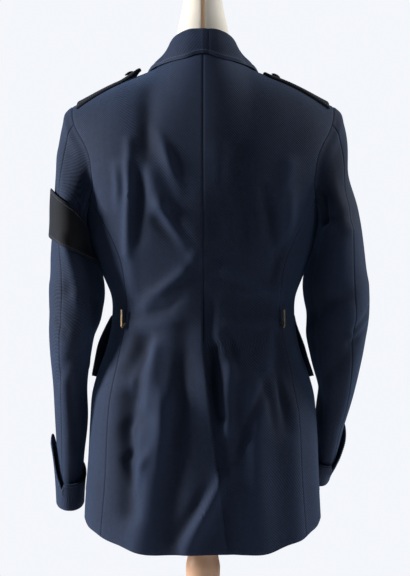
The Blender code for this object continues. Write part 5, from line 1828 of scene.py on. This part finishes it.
def addForm():
    low, high = form["rows"][0][0], form["rows"][-1][0]
    heights = low + (high - low) * spread(high - low, (high - low) / dressForm["rows"])
    turns = 2 * math.pi * np.arange(dressForm["segments"]) / dressForm["segments"]
    turn, height = np.meshgrid(turns, heights)
    points = formPoint(turn, height)
    points[..., 1] -= dressForm["seamDepth"] * bell(points[..., 0], dressForm["seamReach"]) * np.sin(turn)
    count = dressForm["threadPoints"]
    heights = np.linspace(dressForm["threadFrom"], high - 0.004, count)
    lines = []
    for way in (1.0, -1.0):
        line = formPoint(np.full(count, way * math.pi / 2), heights)
        lines.append((line, np.tile(np.array([0.0, way, 0.0]), (count, 1))))
    return meshPiece("form_cotton", points.reshape(-1, 3), tubeFaces(*points.shape[:2]), cotton), lines


stands = addButtons()
formPiece, formLines = addForm()
stitchPiece("form_seam_thread", formLines, seamThread)
stands += [
    (formPiece, "form_torso"),
    (turnedPiece("stem_wood", smoothProfile(stemProfile), wood), "stem"),
    (turnedPiece("base_wood", smoothProfile(baseProfile, lathe["baseStep"]), wood), "base"),
    (turnedPiece("neck_cap_wood", smoothProfile(neckCapProfile), wood), "neck_cap"),
]
for name, node in frame["nodes"].items():
    if name.startswith("belt_hook"):
        node.data.materials.clear()
        node.data.materials.append(brass)
        for face in node.data.polygons:
            face.material_index = 0
print("buttons, form and stand turned")


# What each piece stands for, how its cloth was cut and what it rests on

cuts = {
    "columns": ("piece", "node", "hands", "width", "length", "area", "held"),
    "rows": (
        ("cloth_back", "back", ("_left",), 0.235, 0.740, 0.1280, "draped"),
        ("cloth_back", "back", ("_right",), 0.220, 0.740, 0.1260, "draped"),
        ("cloth_side", "side", ("_left", "_right"), 0.140, 0.500, 0.0550, "draped"),
        ("cloth_front", "front", ("_left", "_right"), 0.245, 0.720, 0.1440, "draped"),
        ("cloth_sleeve_top", "sleeve_top", ("_left", "_right"), 0.190, 0.610, 0.0920, "draped"),
        ("cloth_sleeve_under", "sleeve_under", ("_left", "_right"), 0.170, 0.560, 0.0820, "draped"),
        ("cloth_collar", "collar", ("",), 0.400, 0.075, 0.0225, "folded"),
        ("cloth_lapel", "lapel", ("_left",), 0.085, 0.200, 0.0096, "folded"),
        ("cloth_lapel", "lapel", ("_right",), 0.085, 0.170, 0.0089, "folded"),
        ("strap", "shoulder_strap", ("_left", "_right"), 0.052, 0.110, 0.0054, "laid"),
        ("cloth_cuff", "cuff", ("_left",), 0.330, 0.110, 0.0215, "folded"),
        ("cloth_cuff", "cuff", ("_right",), 0.330, 0.110, 0.0220, "folded"),
        ("band", "armband", ("_left",), 0.340, 0.075, 0.0236, "stretched"),
        ("cloth_pocket", "pocket", ("_left", "_right"), 0.175, 0.225, 0.0370, "laid"),
        ("cloth_flap", "pocket_flap", ("_left", "_right"), 0.170, 0.105, 0.0164, "laid"),
    ),
}

for row in cuts["rows"]:
    cut = tableRow(cuts["columns"], row)
    for hand in cut["hands"]:
        piece = bpy.data.objects[cut["piece"] + hand]
        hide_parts(cut["node"] + hand)
for piece, nodeName in stands:
    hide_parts(nodeName)
    "_button" in nodeName
for piece in dressed:
    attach(piece, "root")

print("pieces ride on their body:", len(dressed))
